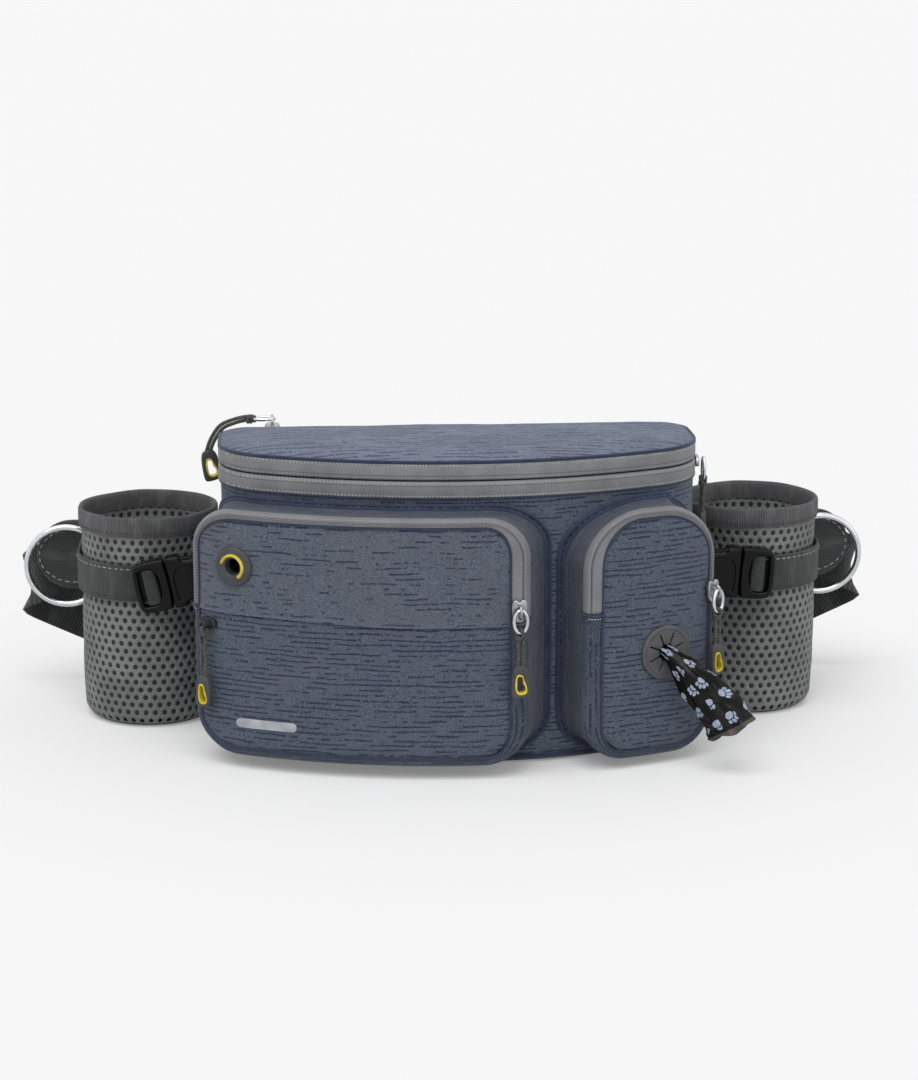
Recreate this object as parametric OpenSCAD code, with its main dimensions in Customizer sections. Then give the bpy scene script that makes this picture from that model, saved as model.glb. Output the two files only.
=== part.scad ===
// Dog-walking waist pouch: a padded main bag with two zipped front pockets, a rear
// compartment, two mesh bottle holders and a waist belt.
// Frame: origin at the centre of the flat bottom, X across, Y to the wearer, Z up.

/* [Main bag] */
// Width between the side walls
bag_w = 252; // [236:1:310]
// Depth from the crown of the front to the back wall
bag_d = 96; // [88:1:120]
// Height of the fabric walls below the zip
body_h = 143; // [130:1:175]
// Height of the zip band round the top
band_h = 19; // [14:1:24]
// Radius of the curved front
front_r = 240; // [220:1:340]
// Radius of the two front corners
corner_r = 38; // [30:1:46]
// Radius of the two back corners
back_r = 18; // [10:1:24]
// Thickness of the padded fabric walls
wall_t = 2.2; // [1.5:0.1:3]
// Height of the lid's crown above the band
crown_h = 5; // [2:0.5:8]
/* [Front pockets] */
// How far both pockets stand out from the bag
pocket_d = 26; // [22:1:34]
// Height of the top of the pockets
pocket_top = 138; // [128:1:141]
// Width of the zip tape that edges a pocket
tape_w = 6; // [4:0.5:8]
// Height at which the pocket zips end
tape_z = 84; // [70:1:96]
// Height of the flap seam across the left pocket
flap_z = 82; // [70:1:90]
// How far the left pocket reaches past the side of the bag
left_wrap = 15.2; // [10:0.1:18]
// Right edge of the left pocket
left_x1 = 30; // [20:1:34]
// Bottom of the left pocket
left_z0 = 7; // [3:1:12]
// Corner radius of the left pocket
left_r = 22; // [12:1:30]
// Left edge of the right pocket
right_x0 = 61; // [58:1:70]
// How far the right pocket reaches past the side of the bag
right_wrap = 6; // [0:0.5:7]
// Bottom of the right pocket
right_z0 = 5; // [3:1:12]
// Top corner radius of the right pocket
right_r = 30; // [20:1:34]
/* [Grommet and dispenser] */
// Radius of the headphone hole
hole_r = 4.25; // [3:0.05:5]
// Radius of the grommet's flange
grommet_r = 10.5; // [9:0.1:13]
// Height of the headphone hole
grommet_z = 109; // [100:1:118]
// Radius of the dispenser port
port_r = 14.5; // [12:0.5:17]
// Height of the dispenser port
port_z = 61; // [54:1:66]
// Length of the reflective bar
mark_l = 31; // [20:1:36]
// Radius of the waste bag roll
roll_r = 10; // [7:0.5:10.5]
// Height of the waste bag roll
roll_h = 56; // [40:1:60]
/* [Rear compartment] */
// Depth of the rear compartment
rear_d = 11.5; // [11:0.5:18]
// Thickness of the padded back panel
panel_t = 5.7; // [4:0.1:8]
/* [Bottle holders] */
// Radius inside a bottle holder
holder_r = 36; // [32:0.5:38]
// Thickness of the mesh wall
mesh_t = 1.5; // [1:0.1:2.5]
// Height of a bottle holder
holder_h = 118; // [105:1:140]
// Height of the rim binding
rim_h = 10.5; // [8:0.5:14]
// Distance from the bag's side to the mesh
holder_gap = 3.5; // [3.2:0.1:8]
/* [Webbing and buckles] */
// Width of the holder straps
strap_w = 20; // [18:1:25]
// Height of the top edge of the holder straps
strap_top = 92; // [80:1:93]
// Width of the waist webbing
belt_w = 30; // [25:1:38]
// Thickness of all webbing
web_t = 1.6; // [1.2:0.1:2]
// Length of a side-release buckle
buckle_l = 45; // [40:1:50]
// Thickness of a buckle
buckle_t = 10; // [9:0.5:12]
// Lean of the left buckle
left_tilt = 12; // [0:1:14]
// Lean of the right buckle
right_tilt = 4; // [0:1:14]
// Height of the side wings
wing_h = 40; // [34:1:46]
// Thickness of the side wings
wing_t = 5; // [3:0.5:6]
// Radius of a ring's centreline
ring_r = 22.2; // [18:0.1:24]
// Thickness of the ring's wire
ring_wire = 3.5; // [2.5:0.1:4]
/* [Zip pulls] */
// Length of a slider
slider_l = 12; // [10:0.5:14]
// Width of a slider
slider_w = 9; // [8:0.5:11]
// Length of the cord between the wire loop and the tab
cord_l = 20; // [12:1:26]
// Length of the moulded tab
tab_l = 17; // [14:0.5:20]
// Width of the moulded tab
tab_w = 10; // [8:0.5:12]

/* [Hidden] */
$fn = 48;

seat = 0.3;                         // gap between pieces that only touch
tape_gap = 0.1;                     // gap between a pocket's tape and its panel
fabric = "#3f4f6b";
tape = "#77777a";
webbing = "#3c403f";
mesh_grey = "#55585a";
black = "#17181a";
silver = "#c9ccd0";
yellow = "#d8b62a";

// --- plan of the bag: an outline point by the way its wall faces, 180 to 360 ---
front_y = -bag_d / 2 + front_r;     // centre of the curved front
corner_x = bag_w / 2 - corner_r;
corner_y = front_y - sqrt(pow(front_r - corner_r, 2) - pow(corner_x, 2));
turn = asin(corner_x / (front_r - corner_r));
back_y = bag_d / 2;
function unit(a) = [cos(a), sin(a)];
function wall(a, d) =
    a < 270 - turn ? [-corner_x, corner_y] + (corner_r + d) * unit(a)
    : a <= 270 + turn ? [0, front_y] + (front_r + d) * unit(a)
    : [corner_x, corner_y] + (corner_r + d) * unit(a);
function wall_run(a0, a1, d, n) = [for (i = [0:n]) wall(a0 + (a1 - a0) * i / n, d)];
function front_run(d) = concat(wall_run(180, 270 - turn - 0.01, d, 10),
    wall_run(270 - turn, 270 + turn, d, 12), wall_run(270 + turn + 0.01, 360, d, 10));
function plan(d) = concat(front_run(d),
    [for (a = [0:15:90]) [bag_w / 2 - back_r, back_y - back_r] + (back_r + d) * unit(a)],
    [for (a = [90:15:180]) [back_r - bag_w / 2, back_y - back_r] + (back_r + d) * unit(a)]);
// Where the wall at offset d stands at a given x, as the way it faces
function facing(x, d) =
    let (reach = (front_r + d) * sin(turn))
    x < -reach ? 180 + acos((-corner_x - x) / (corner_r + d))
    : x <= reach ? 270 + asin(x / (front_r + d))
    : 360 - acos((x - corner_x) / (corner_r + d));

module plan_solid(d, z0, z1) { translate([0, 0, z0]) linear_extrude(z1 - z0) polygon(plan(d)); }
module plan_ring(d_out, d_in, z0, z1) {
    difference() {
        plan_solid(d_out, z0, z1);
        plan_solid(d_in, z0 - 1, z1 + 1);
    }
}
// Puts its children on the wall: local X outward, local Y along the wall
module on_wall(a, d, z) {
    p = wall(a, d);
    translate([p[0], p[1], z]) rotate([0, 0, a]) children();
}

// --- a front pocket: a band of the plan, trimmed by a rounded front outline ---
function rounded(x0, x1, z0, z1, rt, rb) = concat(
    [for (a = [180:15:270]) [x0 + rb, z0 + rb] + rb * unit(a)],
    [for (a = [270:15:360]) [x1 - rb, z0 + rb] + rb * unit(a)],
    [for (a = [0:15:90]) [x1 - rt, z1 - rt] + rt * unit(a)],
    [for (a = [90:15:180]) [x0 + rt, z1 - rt] + rt * unit(a)]);
module front_outline(x0, x1, z0, rt, rb, inset) {
    rotate([90, 0, 0]) linear_extrude(400, center = true)
        polygon(rounded(x0 + inset, x1 - inset, z0 + inset, pocket_top - inset,
            rt - inset, rb - inset));
}
// A pocket is [left edge, right edge, bottom, top radius, bottom radius,
// facing of its outer ends, facing of its roots on the bag]
left_x0 = -bag_w / 2 - left_wrap;
right_x1 = bag_w / 2 + right_wrap;
left_splay = 13;                    // how much wider the pockets are where they meet the bag
right_splay = 11;
side_root_left = 183;               // facings of the roots on the bag's two sides
side_root_right = 336;
left_pocket = [left_x0, left_x1, left_z0, left_r, left_r,
    facing(left_x0, pocket_d), facing(left_x1, pocket_d),
    side_root_left, facing(left_x1 + left_splay, 0)];
right_pocket = [right_x0, right_x1, right_z0, right_r, left_r,
    facing(right_x0, pocket_d), facing(right_x1, pocket_d),
    facing(right_x0 - right_splay, 0), side_root_right];
module pocket_outline(p, inset) { front_outline(p[0], p[1], p[2], p[3], p[4], inset); }
module pocket_band(p, d0, d1) {
    linear_extrude(pocket_top + 10)
        polygon(concat(wall_run(p[5], p[6], d1, 24), wall_run(p[6], p[5], d0, 24)));
}
// The whole pocket between the bag and its panel, with both ends moved in by inset
module pocket_fill(p, d0, d1, inset) {
    outer_r = corner_r + pocket_d;
    s = inset / outer_r * 180 / PI;
    e = inset / (p[6] > 300 ? outer_r : front_r + pocket_d) * 180 / PI;
    linear_extrude(pocket_top + 10)
        polygon(concat(wall_run(p[5] + s, p[6] - e, d1, 24),
            wall_run(p[8] - e, p[7] + s, d0, 24)));
}
module pocket_tape(p) {
    intersection() {
        union() {
            intersection() {
                pocket_band(p, pocket_d - wall_t, pocket_d + 0.3);
                difference() { pocket_outline(p, 0); pocket_outline(p, tape_w); }
            }
            intersection() {
                pocket_band(p, pocket_d - tape_w - wall_t, pocket_d - wall_t);
                difference() { pocket_outline(p, 0); pocket_outline(p, 2); }
            }
        }
        translate([-300, -300, tape_z]) cube([600, 600, 200]);
    }
}
module pocket_gusset(p) {
    difference() {
        intersection() {
            pocket_fill(p, seat, pocket_d - wall_t, 0);
            pocket_outline(p, 0);
        }
        intersection() {
            pocket_fill(p, 0.05, pocket_d, wall_t);
            pocket_outline(p, 2);
        }
        pocket_tape(p);
    }
}
// The panel between two heights, clear of the tape by inset
module pocket_panel(p, z0, z1, inset) {
    intersection() {
        pocket_band(p, pocket_d - wall_t, pocket_d);
        pocket_outline(p, inset);
        translate([-300, -300, z0]) cube([600, 600, z1 - z0]);
    }
}

// --- strips of webbing, from a path in plan ---
function side_of(p, i) =
    let (a = p[max(i - 1, 0)], b = p[min(i + 1, len(p) - 1)], v = b - a)
    [-v[1], v[0]] / norm(v);
function strip(p, t) = concat(
    [for (i = [0:len(p) - 1]) p[i] + side_of(p, i) * t / 2],
    [for (i = [len(p) - 1:-1:0]) p[i] - side_of(p, i) * t / 2]);

// --- a solid swept along points in space; half sizes across and up at each ---
function cross_unit(a, b) = let (c = cross(a, b)) c / norm(c);
function heading(p, i) = let (v = p[min(i + 1, len(p) - 1)] - p[max(i - 1, 0)]) v / norm(v);
function section(p, i, outline, half) =
    let (t = heading(p, i), n = cross_unit(t, [0, 0, 1]), u = cross(n, t))
    [for (q = outline) p[i] + n * q[0] * half[i][0] + u * q[1] * half[i][1]];
module sweep(p, outline, half) {
    m = len(outline);
    last = (len(p) - 1) * m;
    polyhedron(
        points = [for (i = [0:len(p) - 1]) each section(p, i, outline, half)],
        faces = concat(
            [[for (j = [0:m - 1]) j]],
            [for (i = [0:len(p) - 2], j = [0:m - 1])
                [i * m + j, (i + 1) * m + j, (i + 1) * m + (j + 1) % m]],
            [for (i = [0:len(p) - 2], j = [0:m - 1])
                [i * m + j, (i + 1) * m + (j + 1) % m, i * m + (j + 1) % m]],
            [[for (j = [m - 1:-1:0]) last + j]]));
}
square_outline = [[-1, -1], [-1, 1], [1, 1], [1, -1]];
round_outline = [for (a = [0:-36:-324]) unit(a)];

// --- places at the sides, for the right; the left is their mirror image ---
holder_x = bag_w / 2 + holder_gap + holder_r + mesh_t;
panel_y0 = back_y + 0.8 + rear_d + 0.3;
panel_y1 = panel_y0 + panel_t;
wing_set_back = 37.5;               // from the back panel to the outer wing
wing_y0 = panel_y1 + wing_set_back; // front face of the outer wing
holder_y = wing_y0 - seat - holder_r - mesh_t;
wing_z = 80;                        // middle of the wing's height
wing_mid = wing_y0 + wing_t / 2;
strap_r = holder_r + mesh_t + 0.4 + web_t / 2;
strap_z = strap_top - strap_w / 2;  // middle of the holder strap's height
strap_buckle_h = strap_w + 8;
belt_buckle_h = belt_w + 2;
buckle_y = holder_y - strap_r - web_t / 2 - seat - buckle_t / 2;
buckle_x = bag_w / 2 + 0.1 + buckle_l / 2 * cos(left_tilt)
    + strap_buckle_h / 2 * sin(left_tilt);
buckle_z = 85;
keeper_r = 4.2;
ring_y = wing_y0 - keeper_r - 0.05;
ring_x = holder_x + strap_r + 9.3;  // clear of the strap that passes through it
ring_z = 75;
tip_x = ring_x - 3;                 // centre of the wing's round tip
module sides(right) { if (right) children(); else mirror([1, 0, 0]) children(); }

// === main bag ===
module main_shell() {
    color(fabric) {
        difference() {
            plan_solid(0, 0, body_h);
            plan_solid(-wall_t, wall_t, body_h + 1);
        }
        translate([back_r - bag_w / 2, back_y - wall_t, body_h])
            cube([bag_w - 2 * back_r, wall_t, band_h - 0.4]);
    }
}
module band_front(z0, z1) {
    intersection() {
        plan_ring(0.4, -wall_t, z0, z1);
        translate([-300, -300, 0]) cube([600, 300 + back_y - back_r, 300]);
    }
}
module main_zip_tape_lower() { color(tape) band_front(body_h, body_h + band_h / 2 - 0.2); }
module main_zip_tape_upper() {
    color(tape) band_front(body_h + band_h / 2 + 0.2, body_h + band_h);
}
module top_panel() {
    z0 = body_h + band_h;
    color(fabric) intersection() {
        difference() {
            hull() {
                plan_solid(0.4, z0, z0 + 1.4);
                plan_solid(-30, z0, z0 + crown_h);
            }
            hull() {
                plan_solid(-wall_t, z0 - 1, z0 + 0.2);
                plan_solid(-30, z0 - 1, z0 + crown_h - wall_t);
            }
        }
        translate([-300, -300, z0]) cube([600, 300 + back_y - 0.4, 50]);
    }
}
module lid_hinge_strip() {
    color(tape) translate([back_r - bag_w / 2, back_y, body_h + 8])
        cube([bag_w - 2 * back_r, 0.6, band_h - 7.4]);
}

// === rear compartment ===
rear_w = bag_w - 16;
rear_top = body_h + band_h - 2.2;
module rear_block(w, z0, z1, r, y0, y1) {
    translate([0, y1, 0]) rotate([90, 0, 0]) linear_extrude(y1 - y0)
        polygon(rounded(-w / 2, w / 2, z0, z1, r, r));
}
module rear_pocket_gusset() {
    color(fabric) difference() {
        rear_block(rear_w, 3, rear_top, 16, back_y + 0.8, panel_y0);
        rear_block(rear_w - 4, 5, rear_top - 2, 14, back_y, panel_y0 + 1);
    }
}
module rear_zip_tape() {
    color(tape) intersection() {
        difference() {
            rear_block(rear_w + 2.4, 1.8, rear_top + 1.2, 17.2, back_y + 1.6, panel_y0 - 0.6);
            rear_block(rear_w, 3, rear_top, 16, back_y, panel_y0 + 1);
        }
        translate([-300, -300, rear_top - 34]) cube([600, 600, 100]);
    }
}
module back_panel() {
    color(mesh_grey) rear_block(rear_w + 6, 1, rear_top - 2, 18, panel_y0, panel_y1);
}

// === left pocket, with its flap seam and the headphone hole ===
grommet_a = facing(left_x0 + 22.2, pocket_d);
module grommet_cut() {
    on_wall(grommet_a, pocket_d - 8, grommet_z) rotate([0, 90, 0]) cylinder(r = hole_r + 2.2, h = 16);
}
module left_pocket_gusset() { color(fabric) pocket_gusset(left_pocket); }
module left_pocket_zip_tape() { color(tape) pocket_tape(left_pocket); }
module left_pocket_upper_panel() {
    color(fabric) difference() {
        union() {
            pocket_panel(left_pocket, tape_z - 0.5, pocket_top, tape_w + tape_gap);
            pocket_panel(left_pocket, flap_z, tape_z - tape_gap, 0);
        }
        grommet_cut();
    }
}
module left_pocket_lower_panel() {
    color(fabric) pocket_panel(left_pocket, 0, flap_z - 0.4, 0);
}
module headphone_grommet() {
    color("#4b4c4e") on_wall(grommet_a, pocket_d, grommet_z) rotate([0, 90, 0])
        rotate_extrude() polygon([[hole_r, -3.5], [hole_r + 2, -3.5], [hole_r + 2, 0.35],
            [grommet_r, 0.35], [grommet_r, 1.6], [grommet_r - 1, 2.4], [hole_r, 2.4]]);
}
module grommet_accent() {
    color(yellow) on_wall(grommet_a, pocket_d + 2.4, grommet_z) rotate([0, 90, 0])
        rotate([0, 0, 30]) rotate_extrude(angle = 230)
            polygon([[hole_r + 1, 0], [hole_r + 2.8, 0], [hole_r + 2.6, 0.6], [hole_r + 1.2, 0.6]]);
}
module reflective_mark() {
    x0 = left_x0 + left_r;
    a0 = facing(x0, pocket_d);
    a1 = facing(x0 + mark_l, pocket_d);
    color("#c4c7cc") translate([0, 0, left_z0 + 16]) linear_extrude(5)
        polygon(concat(wall_run(a0, a1, pocket_d + 0.5, 12),
            wall_run(a1, a0, pocket_d + 0.02, 12)));
}

// === right pocket, with the waste bag dispenser ===
port_a = facing(right_x1 - 28, pocket_d);
module right_pocket_gusset() { color(fabric) pocket_gusset(right_pocket); }
module right_pocket_zip_tape() { color(tape) pocket_tape(right_pocket); }
module right_pocket_panel() {
    color(fabric) difference() {
        union() {
            pocket_panel(right_pocket, tape_z - 0.5, pocket_top, tape_w + tape_gap);
            pocket_panel(right_pocket, 0, tape_z - tape_gap, 0);
        }
        on_wall(port_a, pocket_d - 6, port_z) rotate([0, 90, 0]) cylinder(r = port_r - 2, h = 12);
    }
}
module dispenser_port() {
    color("#4f5153") on_wall(port_a, pocket_d, port_z) rotate([0, 90, 0]) {
        difference() {
            union() {
                translate([0, 0, 0.35]) cylinder(r = port_r, h = 1.2);
                translate([0, 0, -1.6]) cylinder(r = port_r - 2.3, h = 2.2);
            }
            translate([0, 0, -4]) cylinder(r = 5, h = 8);
            for (i = [0:7]) rotate([0, 0, 22.5 + i * 45])
                translate([4, -0.4, -4]) cube([6.5, 0.8, 8]);
        }
    }
}
module waste_bag_roll() {
    color(black) on_wall(port_a, pocket_d - wall_t - 0.6 - roll_r, right_z0 + 2 + seat) difference() {
        cylinder(r = roll_r, h = roll_h);
        translate([0, 0, -1]) cylinder(r = 4, h = roll_h + 2);
    }
}
// The loose bag: from the port out, down and to the right, widening to its open end
tail_path = [[-1, 0, 0], [3.2, 0, 0], [9, 3, -5], [16, 8, -13], [22, 14, -22],
    [27, 19, -31], [30, 22, -38]];
tail_half = [[4.4, 4.4], [4.4, 4.4], [4.6, 7], [4.8, 9.5], [5.4, 11], [6, 12], [6.4, 12]];
module waste_bag_tail() {
    color(black) on_wall(port_a, pocket_d, port_z) sweep(tail_path, round_outline, tail_half);
}

// === sides: wings, bottle holders, straps, rings ===
function wing_path() = [[rear_w / 2 - 22, panel_y1 + seat + wing_t / 2],
    [rear_w / 2 - 4, panel_y1 + seat + wing_t / 2 + 1], [holder_x - 19, wing_mid],
    [holder_x - 8, wing_mid], [tip_x + wing_h / 2, wing_mid]];
module wing() {
    color(webbing) intersection() {
        translate([0, 0, wing_z - wing_h / 2]) linear_extrude(wing_h)
            polygon(strip(wing_path(), wing_t));
        union() {
            translate([0, -300, 0]) cube([tip_x, 600, 300]);
            translate([tip_x, 300, wing_z]) rotate([90, 0, 0]) cylinder(r = wing_h / 2, h = 600);
        }
    }
}
module holder_mesh() {
    color(mesh_grey) translate([holder_x, holder_y, 0]) difference() {
        cylinder(r = holder_r + mesh_t, h = holder_h);
        translate([0, 0, 2]) cylinder(r = holder_r, h = holder_h);
    }
}
module holder_rim() {
    color(webbing) translate([holder_x, holder_y, holder_h - rim_h]) difference() {
        cylinder(r = holder_r + mesh_t + 0.9, h = rim_h);
        translate([0, 0, -1]) cylinder(r = holder_r + mesh_t + 0.05, h = rim_h + 2);
        translate([-50, wing_y0 - seat - holder_y, -1]) cube([100, 10, rim_h + 2]);
    }
}
function strap_path() = concat([[holder_x + strap_r, wing_y0 - 0.4]],
    [for (a = [0:-10:-90]) [holder_x, holder_y] + strap_r * unit(a)],
    [[holder_x - 17, holder_y - strap_r]]);
module holder_strap() {
    color(webbing) translate([0, 0, strap_z - strap_w / 2]) linear_extrude(strap_w)
        polygon(strip(strap_path(), web_t));
}
module buckle_anchor() {
    x = bag_w / 2 + 0.3 + web_t / 2;
    y = buckle_y + buckle_t / 2 + seat + web_t / 2;
    color(webbing) translate([0, 0, buckle_z - strap_w / 2]) linear_extrude(strap_w)
        polygon(strip([[x + 11, y], [x + 5, y], [x + 1.2, y + 1.2], [x, y + 5], [x, y + 18]], web_t));
}
module ring_keeper() {
    color(webbing) translate([ring_x - ring_r, ring_y, ring_z]) difference() {
        translate([0, 0, -5]) cylinder(r = keeper_r, h = 10);
        translate([0, 0, -6]) cylinder(r = ring_wire / 2 + 0.9, h = 12);
    }
}
module ring() {
    color(silver) translate([ring_x, ring_y, ring_z]) rotate([90, 0, 0])
        rotate_extrude($fn = 64) translate([ring_r, 0]) circle(r = ring_wire / 2, $fn = 24);
}

// === side-release buckles: local X points from the socket to the plug ===
module socket_body(h, l, t) {
    difference() {
        translate([-l / 2, -t / 2, -h / 2]) cube([l * 0.58, t, h]);
        translate([-l / 2 + 5, -t / 2 + 2.2, -h / 2 + 2]) cube([l, t - 4.4, h - 4]);
        for (s = [-1, 1]) translate([-l / 2 + 8, -2, s * h / 2 - 2.5]) cube([10, 4, 5]);
    }
}
module plug_body(h, l, t) {
    x0 = -l / 2 + l * 0.58 + 0.3;
    difference() {
        translate([x0, -t / 2 + 0.5, -h / 2]) cube([l / 2 - x0, t - 1, h]);
        translate([x0 + 4.5, -t, -h / 2 + 3.5]) cube([l / 2 - x0 - 7.5, 2 * t, h - 7]);
    }
    translate([x0 + 4.5 + (l / 2 - x0 - 7.5) / 2, 0, -h / 2 + 3]) cylinder(r = 1.9, h = h - 6);
    for (z = [-h / 2 + 4, h / 2 - 4]) translate([x0 - 17, -2, z - 1.7]) cube([17.5, 4, 3.4]);
    translate([x0 - 12, -1.6, -1.5]) cube([12.5, 3.2, 3]);
}
module fold_body(h, l) {
    x0 = -l / 2 + l * 0.58 + 0.3;
    translate([x0 + 4.5 + (l / 2 - x0 - 7.5) / 2, 0, -h / 2 + 3.8]) difference() {
        cylinder(r = 3.5, h = h - 7.6);
        translate([0, 0, -1]) cylinder(r = 1.95, h = h);
    }
}
module side_buckle(tilt) {
    translate([buckle_x, buckle_y, buckle_z]) rotate([0, tilt, 0]) children();
}

// === waist belt, cinched behind the bag with its buckle in the middle ===
belt_y = wing_y0 + wing_t + 20;
belt_z = belt_w / 2 + 0.2;
wing_y1 = wing_y0 + wing_t;
belt_path = [[tip_x - 2, wing_y1 + 1.7, 78], [tip_x + 12, wing_y1 + 2.1, 72],
    [tip_x + 21, wing_y1 + 4.5, 66], [tip_x + 24, wing_y1 + 9.5, 60],
    [tip_x + 20, wing_y1 + 14.5, 54], [tip_x + 6, wing_y1 + 17.5, 46],
    [tip_x - 15, belt_y - 1.2, 36], [tip_x - 40, belt_y - 0.6, 26],
    [tip_x - 66, belt_y - 0.2, 18], [tip_x - 92, belt_y, belt_z],
    [60, belt_y, belt_z], [9, belt_y, belt_z]];
module belt_webbing() {
    color(webbing) sweep(belt_path, square_outline,
        [for (p = belt_path) [web_t / 2, belt_w / 2]]);
}
module belt_buckle_at() {
    translate([0, belt_y - web_t / 2 - seat - buckle_t / 2, belt_buckle_h / 2 + 0.2]) children();
}

// === zip sliders and pulls: local X outward, local Z up, pin along Y ===
pin_x = 5.4;
module slider_body(along) {
    l = along ? slider_l : slider_w;
    h = along ? slider_w : slider_l;
    color(silver) {
        translate([seat, -l / 2, -h / 2]) cube([2.4, l, h]);
        for (s = [-1, 1]) translate([2.4, s * 2.8 - 0.8, -1.4]) cube([4.2, 1.6, 2.8]);
        translate([pin_x, -3.4, 0]) rotate([-90, 0, 0]) cylinder(r = 0.9, h = 6.8);
    }
}
module pull_eye() {
    difference() {
        union() {
            translate([pin_x, -1.6, 0]) rotate([-90, 0, 0]) cylinder(r = 2.1, h = 3.2);
            translate([pin_x - 0.8, -1.6, -10]) cube([1.6, 3.2, 9]);
        }
        translate([pin_x, -3, 0]) rotate([-90, 0, 0]) cylinder(r = 1.15, h = 6);
    }
}
module tab_plate(hole) {
    difference() {
        translate([-1.7, -tab_w / 2, -tab_l]) cube([3.4, tab_w, tab_l]);
        translate([-3, -tab_w / 2 + 1.6, -tab_l + 1.8]) cube([6, tab_w - 3.2, tab_l - 5.4]);
    }
}
module pull_body() {
    color(webbing) {
        pull_eye();
        for (s = [-1, 1]) translate([pin_x, s * 1.3, -8.5 - cord_l]) cylinder(r = 1.05, h = cord_l);
        translate([pin_x, 0, -8 - cord_l]) tab_plate();
    }
}
module insert_plate() {
    w = tab_w - 3.6;
    h = tab_l - 5.8;
    difference() {
        translate([-2, -w / 2, -tab_l + 2]) cube([4, w, h]);
        translate([-3, -w / 2 + 1.2, -tab_l + 3.2]) cube([6, w - 2.4, h - 2.4]);
    }
}
module pull_insert() { color(yellow) translate([pin_x, 0, -8 - cord_l]) insert_plate(); }

main_z = body_h + band_h / 2 - 3;
module at_main() { on_wall(360, 0.4, main_z) children(); }
left_a = facing(left_x1 - 4.5, pocket_d);
module at_left() { on_wall(left_a, pocket_d + 0.3, tape_z + slider_l / 2) children(); }
right_a = facing(right_x1 - 3, pocket_d);
module at_right() { on_wall(right_a, pocket_d + 0.3, tape_z + slider_l / 2) children(); }
welt_a = facing(left_x0 + 5.2, pocket_d);
module at_welt() { on_wall(welt_a, pocket_d, flap_z - 5) children(); }

// The rear slider lies on top of its tape; its pull drapes over the back edge
rear_slide_x = -rear_w / 2 + 20;
rear_mid = back_y + 0.8 + rear_d / 2 + 0.2;
rear_z = rear_top + 1.2;
module rear_slider() {
    color(silver) translate([rear_slide_x, rear_mid, rear_z]) {
        translate([-slider_l / 2, -slider_w / 2, seat]) cube([slider_l, slider_w, 2.4]);
        for (s = [-1, 1]) translate([-1.4, s * 2.8 - 0.8, 2.4]) cube([2.8, 1.6, 4.2]);
        translate([0, -3.4, pin_x]) rotate([-90, 0, 0]) cylinder(r = 0.9, h = 6.8);
    }
}
rear_cord = [[rear_slide_x - 8, rear_mid, rear_z + pin_x],
    [rear_slide_x - 14, rear_mid + 2, rear_z + 5],
    [rear_slide_x - 21, panel_y1 - 2, rear_z + 3], [rear_slide_x - 25, panel_y1 + 3, rear_z - 1],
    [rear_slide_x - 27, panel_y1 + 4, rear_z - 8], [rear_slide_x - 28, panel_y1 + 4, rear_z - 14]];
module rear_pull() {
    color(webbing) {
        translate([rear_slide_x, rear_mid, rear_z + pin_x]) difference() {
            union() {
                translate([0, -1.6, 0]) rotate([-90, 0, 0]) cylinder(r = 2.1, h = 3.2);
                translate([-9, -1.6, -0.8]) cube([8, 3.2, 1.6]);
            }
            translate([0, -3, 0]) rotate([-90, 0, 0]) cylinder(r = 1.15, h = 6);
        }
        sweep(rear_cord, round_outline, [for (p = rear_cord) [2.2, 1.1]]);
        rear_tab_at() tab_plate();
    }
}
module rear_tab_at() {
    translate([rear_slide_x - 28, panel_y1 + 4, rear_z - 13]) rotate([0, 0, 90]) children();
}
module rear_pull_insert() { color(yellow) rear_tab_at() insert_plate(); }

main_shell();
back_panel();
main_zip_tape_lower();
lid_hinge_strip();
rear_pocket_gusset();
rear_zip_tape();
left_pocket_gusset();
left_pocket_upper_panel();
left_pocket_lower_panel();
left_pocket_zip_tape();
headphone_grommet();
grommet_accent();
right_pocket_gusset();
right_pocket_panel();
right_pocket_zip_tape();
dispenser_port();
waste_bag_tail();
reflective_mark();
sides(false) wing();  // left_wing
sides(true) wing();  // right_wing
sides(false) holder_mesh();  // left_holder_mesh
sides(true) holder_mesh();  // right_holder_mesh
sides(false) holder_rim();  // left_holder_rim
sides(true) holder_rim();  // right_holder_rim
sides(false) holder_strap();  // left_holder_strap
sides(true) holder_strap();  // right_holder_strap
color(black) sides(false) side_buckle(left_tilt) socket_body(strap_buckle_h, buckle_l, buckle_t);  // left_buckle_socket
color(black) sides(true) side_buckle(right_tilt) socket_body(strap_buckle_h, buckle_l, buckle_t);  // right_buckle_socket
sides(false) buckle_anchor();  // left_buckle_anchor
sides(true) buckle_anchor();  // right_buckle_anchor
sides(false) ring_keeper();  // left_ring_keeper
sides(true) ring_keeper();  // right_ring_keeper
sides(false) belt_webbing();  // left_belt_webbing
sides(true) belt_webbing();  // right_belt_webbing
color(black) belt_buckle_at() socket_body(belt_buckle_h, buckle_l, buckle_t);  // belt_buckle_socket
color(black) belt_buckle_at() plug_body(belt_buckle_h, buckle_l, buckle_t);  // belt_buckle_plug
waste_bag_roll();
top_panel();
main_zip_tape_upper();
at_main() slider_body(true);  // main_slider
at_main() pull_body();  // main_pull
at_main() pull_insert();  // main_pull_insert
at_left() slider_body(false);  // left_slider
at_left() pull_body();  // left_pull
at_left() pull_insert();  // left_pull_insert
at_right() slider_body(false);  // right_slider
at_right() pull_body();  // right_pull
at_right() pull_insert();  // right_pull_insert
rear_slider();
rear_pull();
rear_pull_insert();
at_welt() slider_body(true);  // welt_slider
at_welt() pull_body();  // welt_pull
at_welt() pull_insert();  // welt_pull_insert
sides(false) ring();  // left_ring
sides(true) ring();  // right_ring
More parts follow.
